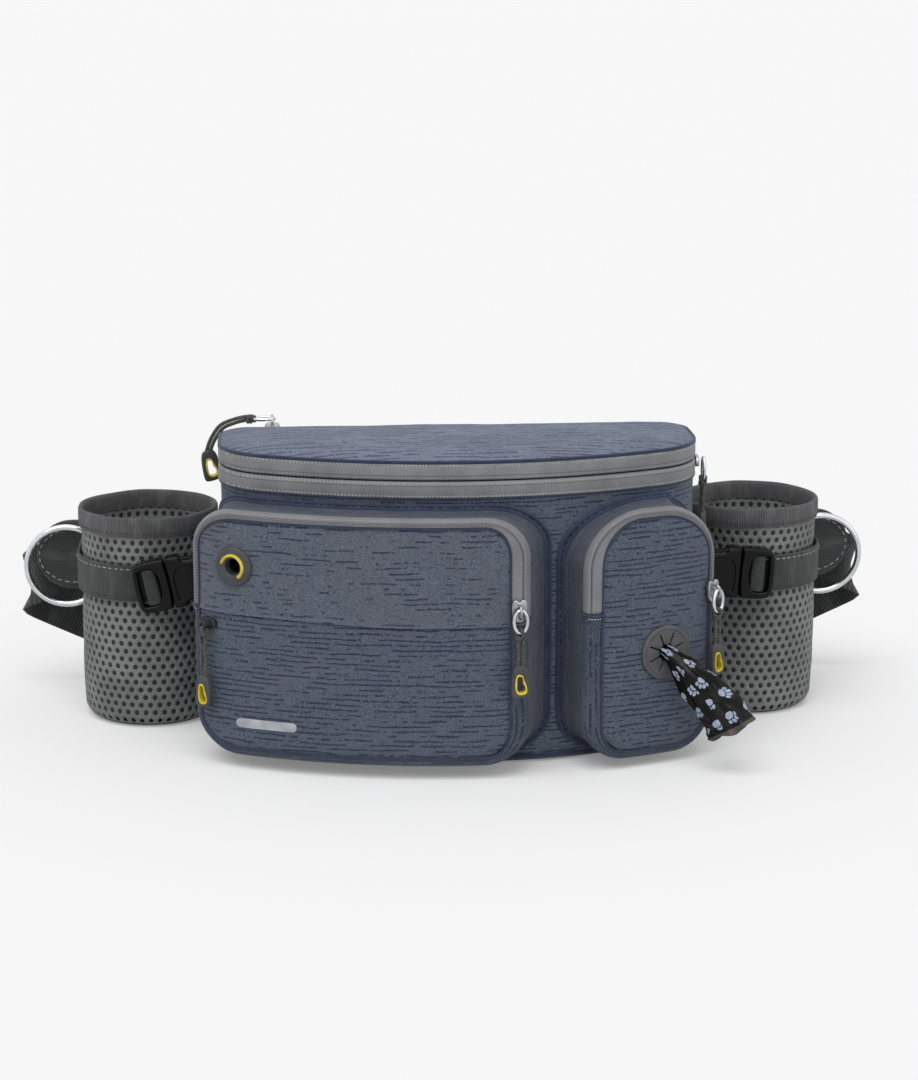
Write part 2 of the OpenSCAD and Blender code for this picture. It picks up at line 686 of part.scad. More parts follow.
color(black) sides(false) side_buckle(left_tilt) plug_body(strap_buckle_h, buckle_l, buckle_t);  // left_buckle_plug
color(black) sides(true) side_buckle(right_tilt) plug_body(strap_buckle_h, buckle_l, buckle_t);  // right_buckle_plug
color(webbing) sides(false) side_buckle(left_tilt) fold_body(strap_buckle_h, buckle_l);  // left_strap_fold
color(webbing) sides(true) side_buckle(right_tilt) fold_body(strap_buckle_h, buckle_l);  // right_strap_fold
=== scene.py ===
"""Dog-walking waist pouch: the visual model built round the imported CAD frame.

Sizes below are in millimetres, as in the CAD source; Piece.make() turns them into
metres. X runs across, Y to the wearer, Z up from the floor.
"""
import math
import random

import bmesh
import bpy
import numpy as np
from mathutils import Matrix, Vector, noise


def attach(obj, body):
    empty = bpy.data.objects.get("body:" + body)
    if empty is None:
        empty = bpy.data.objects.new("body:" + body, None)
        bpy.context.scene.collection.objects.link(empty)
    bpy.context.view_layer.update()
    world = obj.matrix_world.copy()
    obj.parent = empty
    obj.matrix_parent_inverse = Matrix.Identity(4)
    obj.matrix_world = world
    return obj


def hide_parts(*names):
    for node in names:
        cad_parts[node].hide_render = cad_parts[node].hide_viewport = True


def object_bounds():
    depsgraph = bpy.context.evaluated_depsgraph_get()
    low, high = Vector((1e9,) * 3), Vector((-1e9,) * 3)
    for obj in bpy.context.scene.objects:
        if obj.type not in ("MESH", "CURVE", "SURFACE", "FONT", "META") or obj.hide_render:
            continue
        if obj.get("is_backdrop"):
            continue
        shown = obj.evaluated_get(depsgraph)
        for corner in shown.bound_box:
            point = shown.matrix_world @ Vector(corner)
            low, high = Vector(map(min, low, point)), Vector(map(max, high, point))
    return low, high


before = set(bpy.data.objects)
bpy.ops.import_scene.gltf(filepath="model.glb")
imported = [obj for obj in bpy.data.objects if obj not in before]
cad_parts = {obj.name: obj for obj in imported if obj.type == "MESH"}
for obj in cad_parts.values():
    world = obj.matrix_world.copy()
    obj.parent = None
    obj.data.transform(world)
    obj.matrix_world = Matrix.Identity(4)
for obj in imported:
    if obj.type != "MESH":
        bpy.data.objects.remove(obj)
cad_box = [list(corner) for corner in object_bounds()]

MM = 0.001
BAG_W, BAG_D, BODY_H, BAND_H = 252, 96, 143, 19
FRONT_R, CORNER_R, BACK_R, WALL_T = 240, 38, 18, 2.2
LID_Z = BODY_H + BAND_H
POCKET_D, POCKET_TOP, TAPE_Z, FLAP_Z = 26, 138, 84, 82
WEB_T = 1.6

# ---------------------------------------------------------------- camera and light
CAMERA_FAR, CAMERA_AZ, CAMERA_EL = 1.5, math.radians(-4), math.radians(14.5)
AIM = Vector((0, 0, 0.080))
back = Vector((math.sin(CAMERA_AZ) * math.cos(CAMERA_EL),
               -math.cos(CAMERA_AZ) * math.cos(CAMERA_EL), math.sin(CAMERA_EL)))
camera = bpy.data.objects.new("camera", bpy.data.cameras.new("camera"))
bpy.context.scene.collection.objects.link(camera)
camera.location = AIM + back * CAMERA_FAR
camera.rotation_mode = "QUATERNION"
camera.rotation_quaternion = (-back).to_track_quat("-Z", "Y")
camera.data.sensor_width = 36
camera.data.lens = 93.46
camera.data.shift_y = 0.0505
bpy.context.scene.camera = camera
bpy.context.scene.view_settings.view_transform = "Standard"


def sun(name, azimuth, elevation, strength, width):
    lamp = bpy.data.lights.new(name, "SUN")
    lamp.energy, lamp.angle = strength, math.radians(width)
    o = bpy.data.objects.new(name, lamp)
    bpy.context.scene.collection.objects.link(o)
    a, e = math.radians(azimuth), math.radians(elevation)
    way = Vector((math.sin(a) * math.cos(e), -math.cos(a) * math.cos(e), math.sin(e)))
    o.rotation_mode = "QUATERNION"
    o.rotation_quaternion = way.to_track_quat("Z", "Y")


sun("key", -25, 62, 1.35, 50)
sun("fill", 35, 20, 0.35, 60)


# ---------------------------------------------------------------- material kit
def linear(code):
    """A colour such as "4b5260" as linear RGBA."""
    parts = [int(code[i:i + 2], 16) / 255 for i in (0, 2, 4)]
    return [c / 12.92 if c < 0.04045 else ((c + 0.055) / 1.055) ** 2.4 for c in parts] + [1]


class V:
    """A value in a material's node tree that can be added, multiplied and so on."""

    def __init__(self, paint, socket):
        self.paint, self.socket = paint, socket

    def op(self, kind, *others):
        n = self.paint.node("ShaderNodeMath", self, *others, operation=kind)
        return V(self.paint, n.outputs[0])

    def __add__(self, o): return self.op("ADD", o)
    def __sub__(self, o): return self.op("SUBTRACT", o)
    def __mul__(self, o): return self.op("MULTIPLY", o)
    def __truediv__(self, o): return self.op("DIVIDE", o)
    def floor(self): return self.op("FLOOR")
    def part(self): return self.op("FRACT")
    def size(self): return self.op("ABSOLUTE")

    def rise(self, low, high):
        """0 below low, 1 above high, smooth between; low above high falls instead."""
        n = self.paint.node("ShaderNodeMapRange", self, low, high, interpolation_type="SMOOTHSTEP")
        return V(self.paint, n.outputs[0])


class Paint:
    """One procedural material. Its patterns are laid out in millimetres."""

    def __init__(self, name, **sockets):
        self.mat = bpy.data.materials.new(name)
        self.mat.use_nodes = True
        self.tree = self.mat.node_tree
        self.bsdf = self.tree.nodes["Principled BSDF"]
        for key, value in sockets.items():
            self.bsdf.inputs[key.replace("_", " ")].default_value = value

    def node(self, kind, *inputs, **props):
        n = self.tree.nodes.new(kind)
        for key, value in props.items():
            setattr(n, key, value)
        for i, x in enumerate(inputs):
            if isinstance(x, V):
                self.tree.links.new(x.socket, n.inputs[i])
            elif x is not None:
                n.inputs[i].default_value = x
        return n

    def along(self, output):
        n = self.node("ShaderNodeTexCoord")
        cut = self.node("ShaderNodeSeparateXYZ", V(self, n.outputs[output]))
        return [V(self, s) * 1000 for s in cut.outputs]

    def uv(self): return self.along("UV")[:2]
    def place(self): return self.along("Object")

    def vector(self, *parts):
        return V(self, self.node("ShaderNodeCombineXYZ", *parts).outputs[0])

    def noise(self, *parts, detail=2.0, rough=0.5):
        n = self.node("ShaderNodeTexNoise", self.vector(*parts))
        n.inputs["Scale"].default_value = 1
        n.inputs["Detail"].default_value = detail
        n.inputs["Roughness"].default_value = rough
        return V(self, n.outputs[0])

    def random(self, *parts):
        n = self.node("ShaderNodeTexWhiteNoise", self.vector(*parts))
        return V(self, n.outputs[0])

    def mix(self, share, a, b):
        n = self.tree.nodes.new("ShaderNodeMix")
        n.data_type = "RGBA"
        self.tree.links.new(share.socket, n.inputs[0])
        for i, c in ((6, a), (7, b)):
            if isinstance(c, V):
                self.tree.links.new(c.socket, n.inputs[i])
            else:
                n.inputs[i].default_value = linear(c)
        return V(self, n.outputs[2])

    def finish(self, colour, height, depth, rough):
        """Colour, a bump of that depth in millimetres, and a roughness that varies."""
        self.tree.links.new(colour.socket, self.bsdf.inputs["Base Color"])
        bump = self.tree.nodes.new("ShaderNodeBump")
        bump.inputs["Distance"].default_value = depth * MM
        self.tree.links.new(height.socket, bump.inputs["Height"])
        self.tree.links.new(bump.outputs[0], self.bsdf.inputs["Normal"])
        self.tree.links.new(rough.socket, self.bsdf.inputs["Roughness"])
        return self.mat


def heather(name, light, shade, dash, cover, row=2.7, flat=False):
    """Grey-blue heather cloth with broken dark dashes that run along U."""
    p = Paint(name, Sheen_Weight=0.12, Sheen_Roughness=0.5, Specular_IOR_Level=0.25)
    u, v = p.place()[:2] if flat else p.uv()
    wave = p.noise(u * 0.03, v * 0.09, detail=4, rough=0.6) * 3.4
    level = v / row + wave * 0.45
    k = level.floor()
    crowd = p.noise(u * 0.02, v * 0.05, detail=1) * 0.22
    gate = p.noise(u * 0.06 + k * 13.7, k * 5.13, detail=4, rough=0.68) + crowd
    drawn = gate.rise(0.70 - cover, 0.73 - cover)
    ragged = p.noise(u * 0.7, k * 3.1, v * 0.5, detail=3) * 0.26
    line = drawn * ((level.part() - 0.5).size() - ragged).rise(0.06, -0.04)
    fine = v / (row * 0.5) + wave * 0.9
    hair = p.noise(u * 0.13 + fine.floor() * 7.9, fine.floor() * 2.7, detail=3).rise(0.55, 0.62)
    hair = hair * (fine.part() - 0.5).size().rise(0.20, 0.06) * 0.6
    ink = (line + hair).op("MINIMUM", 1.0)
    grain = p.noise(u * 1.3, v * 3.4, detail=3, rough=0.7)
    speck = p.random((u * 2.1).floor(), (v * 2.6).floor())
    tone = grain * 1.7 + speck * 0.55 - 0.62
    cloth = p.mix(tone.rise(0.15, 0.95), shade, light)
    patch = p.noise(u * 0.03, v * 0.03, detail=1).rise(0.35, 0.7) * 0.35
    cloth = p.mix(patch, cloth, "605f6c")
    colour = p.mix(ink * 0.9, cloth, dash)
    return p.finish(colour, grain * 0.8 + ink * 0.7 + speck * 0.25, 0.16,
                    grain * 0.15 + 0.72)


def film_tape(name, base, dark, ticks=False):
    """Water-resistant zip tape: a matt film with a fine grain. With ticks, the stitch
    rows that hold the coils show on both sides of the join and along the outer edges."""
    p = Paint(name, Specular_IOR_Level=0.4)
    x, y, z = p.place()
    grain = p.noise(x * 1.6, y * 1.6, z * 1.6, detail=3)
    cloud = p.noise(x * 0.06, y * 0.06, z * 0.06, detail=2)
    colour = p.mix((grain * 0.6 + cloud * 0.6).rise(0.35, 0.85), dark, base)
    if ticks:
        off = (z - (BODY_H + BAND_H / 2)).size()
        beat = ((x + y * 0.3) / 1.7).part()
        coil = (off - 1.5).size().rise(0.6, 0.3) * beat.rise(0.5, 0.65) * 0.6
        edge = (off - 8.0).size().rise(0.7, 0.4) * beat.rise(0.45, 0.6)
        # a dark line painted 2.7 mm from the join, where no groove is modelled: painted shade of a
        # groove
        groove_shade = (off - 2.7).size().rise(0.35, 0.1) * 0.5
        colour = p.mix((coil + edge).op("MINIMUM", 1.0) * 0.7, colour, "bcbcbe")
        colour = p.mix(groove_shade, colour, "3c3d40")
    return p.finish(colour, grain, 0.10, cloud * 0.3 + 0.36)


def webbing(name, light, dark, rib=1.15, across=False):
    """Woven tape with ribs along its length, or across it for a ribbed binding."""
    p = Paint(name, Sheen_Weight=0.15, Sheen_Roughness=0.45, Specular_IOR_Level=0.25)
    u, v = p.uv()
    if across:
        u, v = v, u
    ribs = (v / rib).part()
    round_rib = ((ribs - 0.5).size() * -2 + 1).rise(0.0, 0.8)
    weft = ((u / 0.75 + (v / rib).floor() * 0.5).part() - 0.5).size()
    fuzz = p.noise(u * 1.1, v * 1.9, detail=3)
    wear = p.noise(u * 0.05, v * 0.12, detail=3).rise(0.45, 0.75) * 0.35
    tone = round_rib * 0.45 + weft * 0.45 + fuzz * 0.35 + wear - 0.1
    colour = p.mix(tone.rise(0.1, 1.0), dark, light)
    return p.finish(colour, round_rib + weft * 0.6 + fuzz * 0.3, 0.35, fuzz * 0.2 + 0.66)


def plain(name, light, dark, grain=2.0, depth=0.05, rough=0.4, spread=0.15, **sockets):
    """Moulded or cast stuff: a base tone with fine texture and soft handling wear."""
    p = Paint(name, **sockets)
    x, y, z = p.place()
    fine = p.noise(x * grain, y * grain, z * grain, detail=3)
    worn = p.noise(x * 0.11, y * 0.11, z * 0.11, detail=3)
    colour = p.mix((fine * 0.4 + worn * 0.7).rise(0.35, 0.8), dark, light)
    return p.finish(colour, fine, depth, worn * spread + fine * spread + (rough - spread))


def knit(name, light, dark):
    p = Paint(name, Sheen_Weight=0.1, Specular_IOR_Level=0.35)
    x, y, z = p.place()
    yarn = p.noise(x * 2.2, y * 2.2, z * 3.6, detail=3)
    soil = p.noise(x * 0.05, y * 0.05, z * 0.05, detail=2)
    colour = p.mix((yarn * 0.8 + soil * 0.4).rise(0.35, 0.85), dark, light)
    return p.finish(colour, yarn, 0.3, yarn * 0.2 + 0.55)


def spacer_mesh(name, light, dark):
    """Padded air mesh for the back: small staggered pits in a soft knit."""
    p = Paint(name, Sheen_Weight=0.1, Specular_IOR_Level=0.2)
    u, v = p.uv()
    row = (v / 2.4).floor()
    a = ((u / 2.8 + row * 0.5).part() - 0.5) * 2.8
    b = ((v / 2.4).part() - 0.5) * 2.4
    pit = (a * a + b * b).rise(1.3, 0.25)
    yarn = p.noise(u * 1.7, v * 1.7, detail=3)
    colour = p.mix((yarn * 0.9 - pit * 0.75 + 0.2).rise(0.1, 0.8), dark, light)
    return p.finish(colour, yarn * 0.3 - pit, 0.5, yarn * 0.2 + 0.62)


def paw_film(name):
    """Glossy black film with a scatter of small pale paw prints."""
    p = Paint(name, Specular_IOR_Level=0.22)
    u, v = p.uv()
    cell = 10.6
    row = (v / cell).floor()
    shifted = u / cell + row * 0.5
    col = shifted.floor()
    turn = (p.random(col, row) - 0.5) * 2.2
    a = (shifted.part() - 0.5) * cell + (p.random(row, col) - 0.5) * 1.2
    b = ((v / cell).part() - 0.5) * cell
    c, s = turn.op("COSINE"), turn.op("SINE")
    x, y = a * c - b * s, a * s + b * c
    print_ = None
    for cx, cy, rx, ry in ((0, -0.8, 1.9, 1.7), (-2.3, 1.2, 0.7, 1.05),
                           (-0.85, 2.4, 0.75, 1.2), (0.85, 2.4, 0.75, 1.2),
                           (2.3, 1.2, 0.7, 1.05)):
        dx, dy = (x - cx) / rx, (y - cy) / ry
        blob = (dx * dx + dy * dy).rise(1.15, 0.85)
        print_ = blob if print_ is None else print_.op("MAXIMUM", blob)
    smear = p.noise(u * 0.8, v * 0.8, detail=3)
    ink = p.mix(smear.rise(0.3, 0.7), "8e9bb2", "b3bfd2")
    colour = p.mix(print_ * 0.95, p.mix(smear, "020202", "060505"), ink)
    return p.finish(colour, smear, 0.25, smear * 0.16 + 0.10)


def cord_paint(name):
    """Braided cord: dark with light flecks along its turns."""
    p = Paint(name, Sheen_Weight=0.1)
    x, y, z = p.place()
    twist = ((z * 0.9 + p.noise(x * 0.9, y * 0.9, z * 0.5) * 2).part() - 0.5).size()
    fleck = p.noise(x * 2.4, y * 2.4, z * 1.3, detail=2).rise(0.60, 0.68)
    colour = p.mix(twist.rise(0.05, 0.4), "2b2c2d", "4a4a49")
    colour = p.mix(fleck * 0.65, colour, "a9a69c")
    return p.finish(colour, twist, 0.3, twist * 0.2 + 0.6)


BLUE = heather("heather_blue", "717986", "434a56", "28314b", 0.07)
BLUE_LOW = heather("heather_lower", "687382", "3b4552", "242c47", 0.12)
BLUE_BODY = heather("heather_body", "6d7b8a", "3f4a58", "222b43", 0.125, row=2.3)
# the side strips' heather is darker than the front panels' heather: painted shade on the
# side-facing gussets and strips
BLUE_SIDE_PAINTED_SHADE = heather("heather_strip_painted_shade", "56606d", "323a46", "212a40", 0.12, row=1.9)
BLUE_LID = heather("heather_lid", "8a93a8", "5b6579", "3c4762", 0.14, row=4.6, flat=True)
TAPE = film_tape("zip_tape_film", "8f8f92", "747578", ticks=True)
TAPE_POCKET = film_tape("pocket_tape_film", "8a8a8e", "727277")
ZIP_DARK = plain("zip_teeth_dark", "3a3b3e", "242528", rough=0.55)
NAVY = plain("navy_thread", "303a57", "1e253c", rough=0.8, Sheen_Weight=0.2)
PALE = plain("pale_thread", "c3c8d2", "8c93a3", rough=0.75)
SEAM = plain("seam_thread", "5f6b88", "2f3954", grain=0.5, rough=0.8)
TICK = plain("zip_stitch_grey", "b4b5b8", "8a8b8e", grain=1, rough=0.7)
LINING = knit("lining_cloth", "55585e", "3a3c41")
WEB = webbing("strap_webbing", "565a58", "292c2b", rib=0.95, across=True)
WING_WEB = webbing("wing_webbing", "5c605e", "2f3231", rib=1.0)
BELT_WEB = webbing("belt_webbing", "4c4f4e", "1d1f1f", rib=1.7, across=True)
RIM = webbing("rim_binding", "747476", "434345", rib=0.9, across=True)
MESH = knit("holder_knit", "909392", "5a5d5c")
# near-black knit for a sheet at the nets' surface: painted shade of the holders' insides, seen
# through the holes
HOLDER_SHADE_KNIT = knit("holder_painted_shade", "2c2e2e", "161717")
PADMESH = spacer_mesh("back_air_mesh", "5d6062", "2e3032")
CORD = cord_paint("pull_cord")
RUBBER = plain("tab_rubber", "4b4c4f", "36373a", grain=3, rough=0.55, depth=0.04)
GREY_RUBBER = plain("grommet_rubber", "5b5c5e", "46474a", grain=3, rough=0.5, depth=0.04)
YELLOW = plain("yellow_rubber", "ead548", "cdb42c", grain=3, rough=0.45, depth=0.03)
BLACK = plain("buckle_plastic", "060607", "030303", grain=2.5, rough=0.2, spread=0.06,
              depth=0.02, Specular_IOR_Level=0.22)
CHROME = plain("chrome_steel", "e8eaee", "c9ccd1", grain=0.8, rough=0.16, spread=0.05,
               depth=0.01, Metallic=1.0)
ZIP_METAL = plain("slider_metal", "c4c6c9", "8f9296", grain=2, rough=0.3, spread=0.08,
                  depth=0.04, Metallic=1.0)
# darkened metal for the welt slider and its loop under the flap's lip: painted shade
WELT_METAL_SHADE = plain("welt_metal_painted_shade", "55575b", "2e3033", grain=2, rough=0.4, depth=0.04, Metallic=0.8)
FILM = paw_film("bag_film")
PLAIN_FILM = plain("roll_film", "222224", "101011", grain=1.5, rough=0.25)
SILVER_PRINT = plain("reflective_print", "c9ccd2", "a0a4ab", grain=4, rough=0.35,
                     Metallic=0.5)

# ---------------------------------------------------------------- mesh kit


class Piece:
    """Collects surfaces in millimetres and makes one object of them."""

    def __init__(self, name):
        self.name, self.points, self.faces, self.uvs, self.slots = name, [], [], [], []

    def grid(self, points, uv=None, wrap_u=False, wrap_v=False, mat=0, caps=False):
        """A grid of points [i][j]. uv has one more row or column where it wraps."""
        p = np.asarray(points, float)
        n, m = p.shape[:2]
        if uv is None:
            q = np.concatenate([p, p[:1]]) if wrap_u else p
            du = np.linalg.norm(np.diff(q, axis=0), axis=2).mean(1)
            q = np.concatenate([p, p[:, :1]], 1) if wrap_v else p
            dv = np.linalg.norm(np.diff(q, axis=1), axis=2).mean(0)
            uu, vv = np.r_[0, np.cumsum(du)], np.r_[0, np.cumsum(dv)]
            uv = np.stack(np.meshgrid(uu, vv, indexing="ij"), 2)
        base = len(self.points)
        self.points += p.reshape(-1, 3).tolist()
        for i in range(n if wrap_u else n - 1):
            for j in range(m if wrap_v else m - 1):
                i1, j1 = (i + 1) % n, (j + 1) % m
                self.faces.append([base + i * m + j, base + i1 * m + j,
                                   base + i1 * m + j1, base + i * m + j1])
                self.uvs.append([uv[i][j], uv[i + 1][j], uv[i + 1][j + 1], uv[i][j + 1]])
                self.slots.append(mat(i, j) if callable(mat) else mat)
        if caps:  # close both ends of a tube that wraps in V
            for i in (0, n - 1):
                self.faces.append([base + i * m + j for j in range(m)])
                self.uvs.append([(x[0], x[1]) for x in p[i]])
                self.slots.append(mat(min(i, n - 2), 0) if callable(mat) else mat)
        return self

    def tube(self, path, radius, sides=10, mat=0, closed=False, flat=1.0):
        """A round cord along a path; flat squeezes it across its second axis."""
        path = np.asarray(path, float)
        n = len(path)
        radius = np.broadcast_to(np.asarray(radius, float), (n,))
        if closed:
            ahead = np.roll(path, -1, 0) - np.roll(path, 1, 0)
        else:
            ahead = np.gradient(path, axis=0)
        ahead /= np.linalg.norm(ahead, axis=1)[:, None]
        side = np.cross(ahead[0], (0, 0, 1) if abs(ahead[0][2]) < 0.9 else (0, 1, 0))
        rings = []
        for t, c, r in zip(ahead, path, radius):
            side = side - t * (side @ t)
            side /= np.linalg.norm(side)
            up = np.cross(side, t)
            rings.append([c + r * (side * math.cos(a) + up * flat * math.sin(a))
                          for a in turn_of(sides)])
        return self.grid(rings, wrap_u=closed, wrap_v=True, mat=mat, caps=not closed)

    def stitches(self, path, pitch, length, radius, mat=0, jitter=0.0):
        """A run of short thread stitches laid along a path."""
        path = np.asarray(path, float)
        run = lengths(path)
        rng = random.Random(1)
        for s in np.arange(pitch / 2, run[-1] - length, pitch):
            s += rng.uniform(-jitter, jitter)
            a, b = (np.array([np.interp(x, run, path[:, k]) for k in range(3)])
                    for x in (s, s + length))
            t = (b - a) / max(np.linalg.norm(b - a), 1e-9)
            w = np.cross(t, (0.3, 0.2, 0.93))
            w /= max(np.linalg.norm(w), 1e-9)
            h = np.cross(t, w)
            rings = [[c + r * (w * math.cos(k) + h * math.sin(k))
                      for k in (0, 1.571, 3.142, 4.712)]
                     for c, r in ((a, radius * 0.4), (a + t * length * 0.2, radius),
                                  (b - t * length * 0.2, radius), (b, radius * 0.4))]
            self.grid(rings, wrap_v=True, mat=mat, caps=True)
        return self

    def lathe(self, profile, place, sides):
        """A profile of (radius, height) turned about the local Z of a placing matrix."""
        rings = [[place @ Vector((r * math.cos(a), r * math.sin(a), z)) for r, z in profile]
                 for a in turn_of(sides)]
        return self.grid(rings, wrap_u=True)

    def plate(self, outlines, thick, bevel, place, mat=0):
        """A moulded plate: 2D outlines, inner ones as holes, with rounded edges."""
        curve = bpy.data.curves.new("outline", "CURVE")
        curve.dimensions = "2D"
        curve.fill_mode = "BOTH"
        curve.extrude, curve.bevel_depth = thick / 2 - bevel, bevel
        curve.bevel_resolution = 3
        curve.offset = -bevel
        for line in outlines:
            s = curve.splines.new("POLY")
            s.points.add(len(line) - 1)
            for q, (x, y) in zip(s.points, line):
                q.co = (x, y, 0, 1)
            s.use_cyclic_u = True
        o = bpy.data.objects.new("outline", curve)
        bpy.context.scene.collection.objects.link(o)
        mesh = bpy.data.meshes.new_from_object(
            o.evaluated_get(bpy.context.evaluated_depsgraph_get()))
        base = len(self.points)
        self.points += [list(place @ v.co) for v in mesh.vertices]
        for f in mesh.polygons:
            self.faces.append([base + i for i in f.vertices])
            self.uvs.append([mesh.vertices[i].co[:2] for i in f.vertices])
            self.slots.append(mat)
        bpy.data.objects.remove(o)
        bpy.data.meshes.remove(mesh)
        return self

    def make(self, mats, body, slot, *nodes, levels=0, thick=0.0, offset=-1.0, inner=0):
        """The object, riding on its body and standing for those CAD nodes."""
        mesh = bpy.data.meshes.new(self.name)
        mesh.from_pydata([[c * MM for c in p] for p in self.points], [], self.faces)
        layer = mesh.uv_layers.new(name="UVMap")
        flat = [c * MM for face in self.uvs for q in face for c in q[:2]]
        layer.data.foreach_set("uv", flat)
        mesh.polygons.foreach_set("material_index", self.slots)
        for m in mats:
            mesh.materials.append(m)
        bm = bmesh.new()
        bm.from_mesh(mesh)
        bmesh.ops.remove_doubles(bm, verts=bm.verts, dist=0.02 * MM)
        bmesh.ops.recalc_face_normals(bm, faces=bm.faces)
        bm.to_mesh(mesh)
        bm.free()
        mesh.polygons.foreach_set("use_smooth", [True] * len(mesh.polygons))
        o = bpy.data.objects.new(self.name, mesh)
        bpy.context.scene.collection.objects.link(o)
        if thick:
            m = o.modifiers.new("thick", "SOLIDIFY")
            m.thickness, m.offset, m.material_offset = thick * MM, offset, inner
            m.use_even_offset = False
        if levels:
            m = o.modifiers.new("smooth", "SUBSURF")
            m.levels = m.render_levels = levels
        else:
            m = o.modifiers.new("edges", "EDGE_SPLIT")
            m.split_angle = math.radians(50)
        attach(o, body)
        if nodes:
            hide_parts(*nodes)
        return o


def steps(a, b, n):
    return np.linspace(a, b, n + 1)


def turned(degrees, axis):
    return Matrix.Rotation(math.radians(degrees), 4, axis)


def lengths(path):
    """Distance along a line at each of its points."""
    return np.r_[0, np.cumsum(np.linalg.norm(np.diff(path, axis=0), axis=1))]


def directions(path):
    """Unit vectors along a line at each of its points."""
    ahead = np.gradient(path, axis=0)
    return ahead / np.linalg.norm(ahead, axis=1)[:, None]


def turn_of(n):
    """The angles of n points round a full turn."""
    return np.linspace(0, 2 * math.pi, n, endpoint=False)


def eased(n):
    """0 to 1 in n steps that crowd towards both ends."""
    return (1 - np.cos(np.linspace(0, math.pi, n + 1))) / 2


def wobble(p, scale, seed=0.0):
    """Smooth noise from about -1 to 1 at a point."""
    return noise.noise(Vector((p[0] / scale + seed, p[1] / scale, p[2] / scale)))


# ---------------------------------------------------------------- plan of the bag
FRONT_Y = -BAG_D / 2 + FRONT_R
CORNER_X = BAG_W / 2 - CORNER_R
CORNER_Y = FRONT_Y - math.sqrt((FRONT_R - CORNER_R) ** 2 - CORNER_X ** 2)
TURN = math.degrees(math.asin(CORNER_X / (FRONT_R - CORNER_R)))
BACK_Y = BAG_D / 2


def unit(a):
    return np.array([math.cos(math.radians(a)), math.sin(math.radians(a))])


def wall(a, d):
    """A point of the bag's outline by the way its wall faces, 180 to 360, pushed out by d."""
    if a < 270 - TURN:
        return np.array([-CORNER_X, CORNER_Y]) + (CORNER_R + d) * unit(a)
    if a <= 270 + TURN:
        return np.array([0, FRONT_Y]) + (FRONT_R + d) * unit(a)
    return np.array([CORNER_X, CORNER_Y]) + (CORNER_R + d) * unit(a)


def facing(x, d):
    """The way the wall at offset d faces where it stands at a given x."""
    reach = (FRONT_R + d) * math.sin(math.radians(TURN))
    if x < -reach:
        return 180 + math.degrees(math.acos((-CORNER_X - x) / (CORNER_R + d)))
    if x <= reach:
        return 270 + math.degrees(math.asin(x / (FRONT_R + d)))
    return 360 - math.degrees(math.acos((x - CORNER_X) / (CORNER_R + d)))


def on_wall(a, d, z):
    """Placing matrix: local X outward, local Y along the wall, Z up."""
    x, y = wall(a, d)
    return Matrix.Translation((x, y, z)) @ turned(a, "Z")


def outward(place):
    """The same place with local Z outward, for lathes and plates."""
    return place @ turned(90, "Y") @ turned(90, "Z")


def front_facings(step=3.0):
    """Facings from the left side round the front to the right side."""
    n1 = int(CORNER_R * math.radians(90 - TURN) / step) + 2
    n2 = int(FRONT_R * math.radians(2 * TURN) / step) + 2
    return np.r_[steps(180, 270 - TURN, n1)[:-1], steps(270 - TURN, 270 + TURN, n2)[:-1],
                 steps(270 + TURN, 360, n1)]


def plan_at(a, d):
    """As wall(), and on past 360 round the back: 360-450 and 450-540 are the back corners."""
    if a <= 360:
        return wall(a, d)
    cx = BAG_W / 2 - BACK_R if a <= 450 else BACK_R - BAG_W / 2
    return np.array([cx, BACK_Y - BACK_R]) + (BACK_R + d) * unit(a - 360)


side_y = steps(CORNER_Y, BACK_Y - BACK_R, 6)
back_x = steps(BAG_W / 2 - BACK_R, BACK_R - BAG_W / 2, 56)


def plan_loop(d):
    """The whole outline as a closed list of points."""
    loop = [wall(a, d) for a in front_facings()]
    loop += [np.array([BAG_W / 2 + d, y]) for y in side_y[1:-1]]
    loop += [plan_at(a, d) for a in steps(360, 450, 9)]
    loop += [np.array([x, BACK_Y + d]) for x in back_x[1:-1]]
    loop += [plan_at(a, d) for a in steps(450, 540, 9)]
    loop += [np.array([-BAG_W / 2 - d, y]) for y in side_y[::-1][1:-1]]
    return np.array(loop)


def closed_run(points):
    """Distance along a closed line, with the full turn as one more value."""
    p = np.asarray(points)
    return lengths(np.concatenate([p, p[:1]]))


# ---------------------------------------------------------------- main bag
outer = plan_loop(0)
run = closed_run(outer)
skin_rows = [(-17, 0.5), (-9, 0.3), (-4, 0.3), (-1.6, 0.9), (-0.5, 2.2), (0, 4.5)] + \
    [(0, z) for z in steps(9, BODY_H - 2, 22)] + [(0, BODY_H), (-1.0, BODY_H + 0.3),
                                                   (-WALL_T, BODY_H - 1)]
lining_rows = [(-WALL_T, z) for z in steps(BODY_H - 12, 9, 6)] + \
    [(-2.6, 4.5), (-5, 2.6), (-17, 2.4)]
shell_rows = skin_rows + lining_rows
rings = []
for d, z in shell_rows:
    ring = plan_loop(d)
    if d == 0 and z < BODY_H:  # soft walls: slack and gentle creases that stay inside
        for k, (x, y) in enumerate(ring):
            slack = 0.9 * wobble((x, y, z * 1.6), 34, 3) + 0.35 * wobble((x, y, z), 11, 8)
            push = (slack - 0.6) * math.sin(math.pi * min(1, z / BODY_H)) ** 0.5
            away = ring[k] - np.array([np.clip(x, -CORNER_X, CORNER_X), 12])
            ring[k] += away / np.linalg.norm(away) * push
    rings.append([(x, y, z) for x, y in ring])
body = Piece("bag_shell")
uv = np.array([[(s, h) for s in run] for h in lengths(shell_rows)])
body.grid(rings, uv, wrap_v=True, mat=lambda i, j: int(i >= len(skin_rows) - 2))
for ring, slot_no in ((rings[0], 0), (rings[-1], 1)):
    base = len(body.points)
    body.points += ring
    body.faces.append(list(range(base, base + len(ring))))
    body.uvs.append([(p[0], p[1]) for p in ring])
    body.slots.append(slot_no)
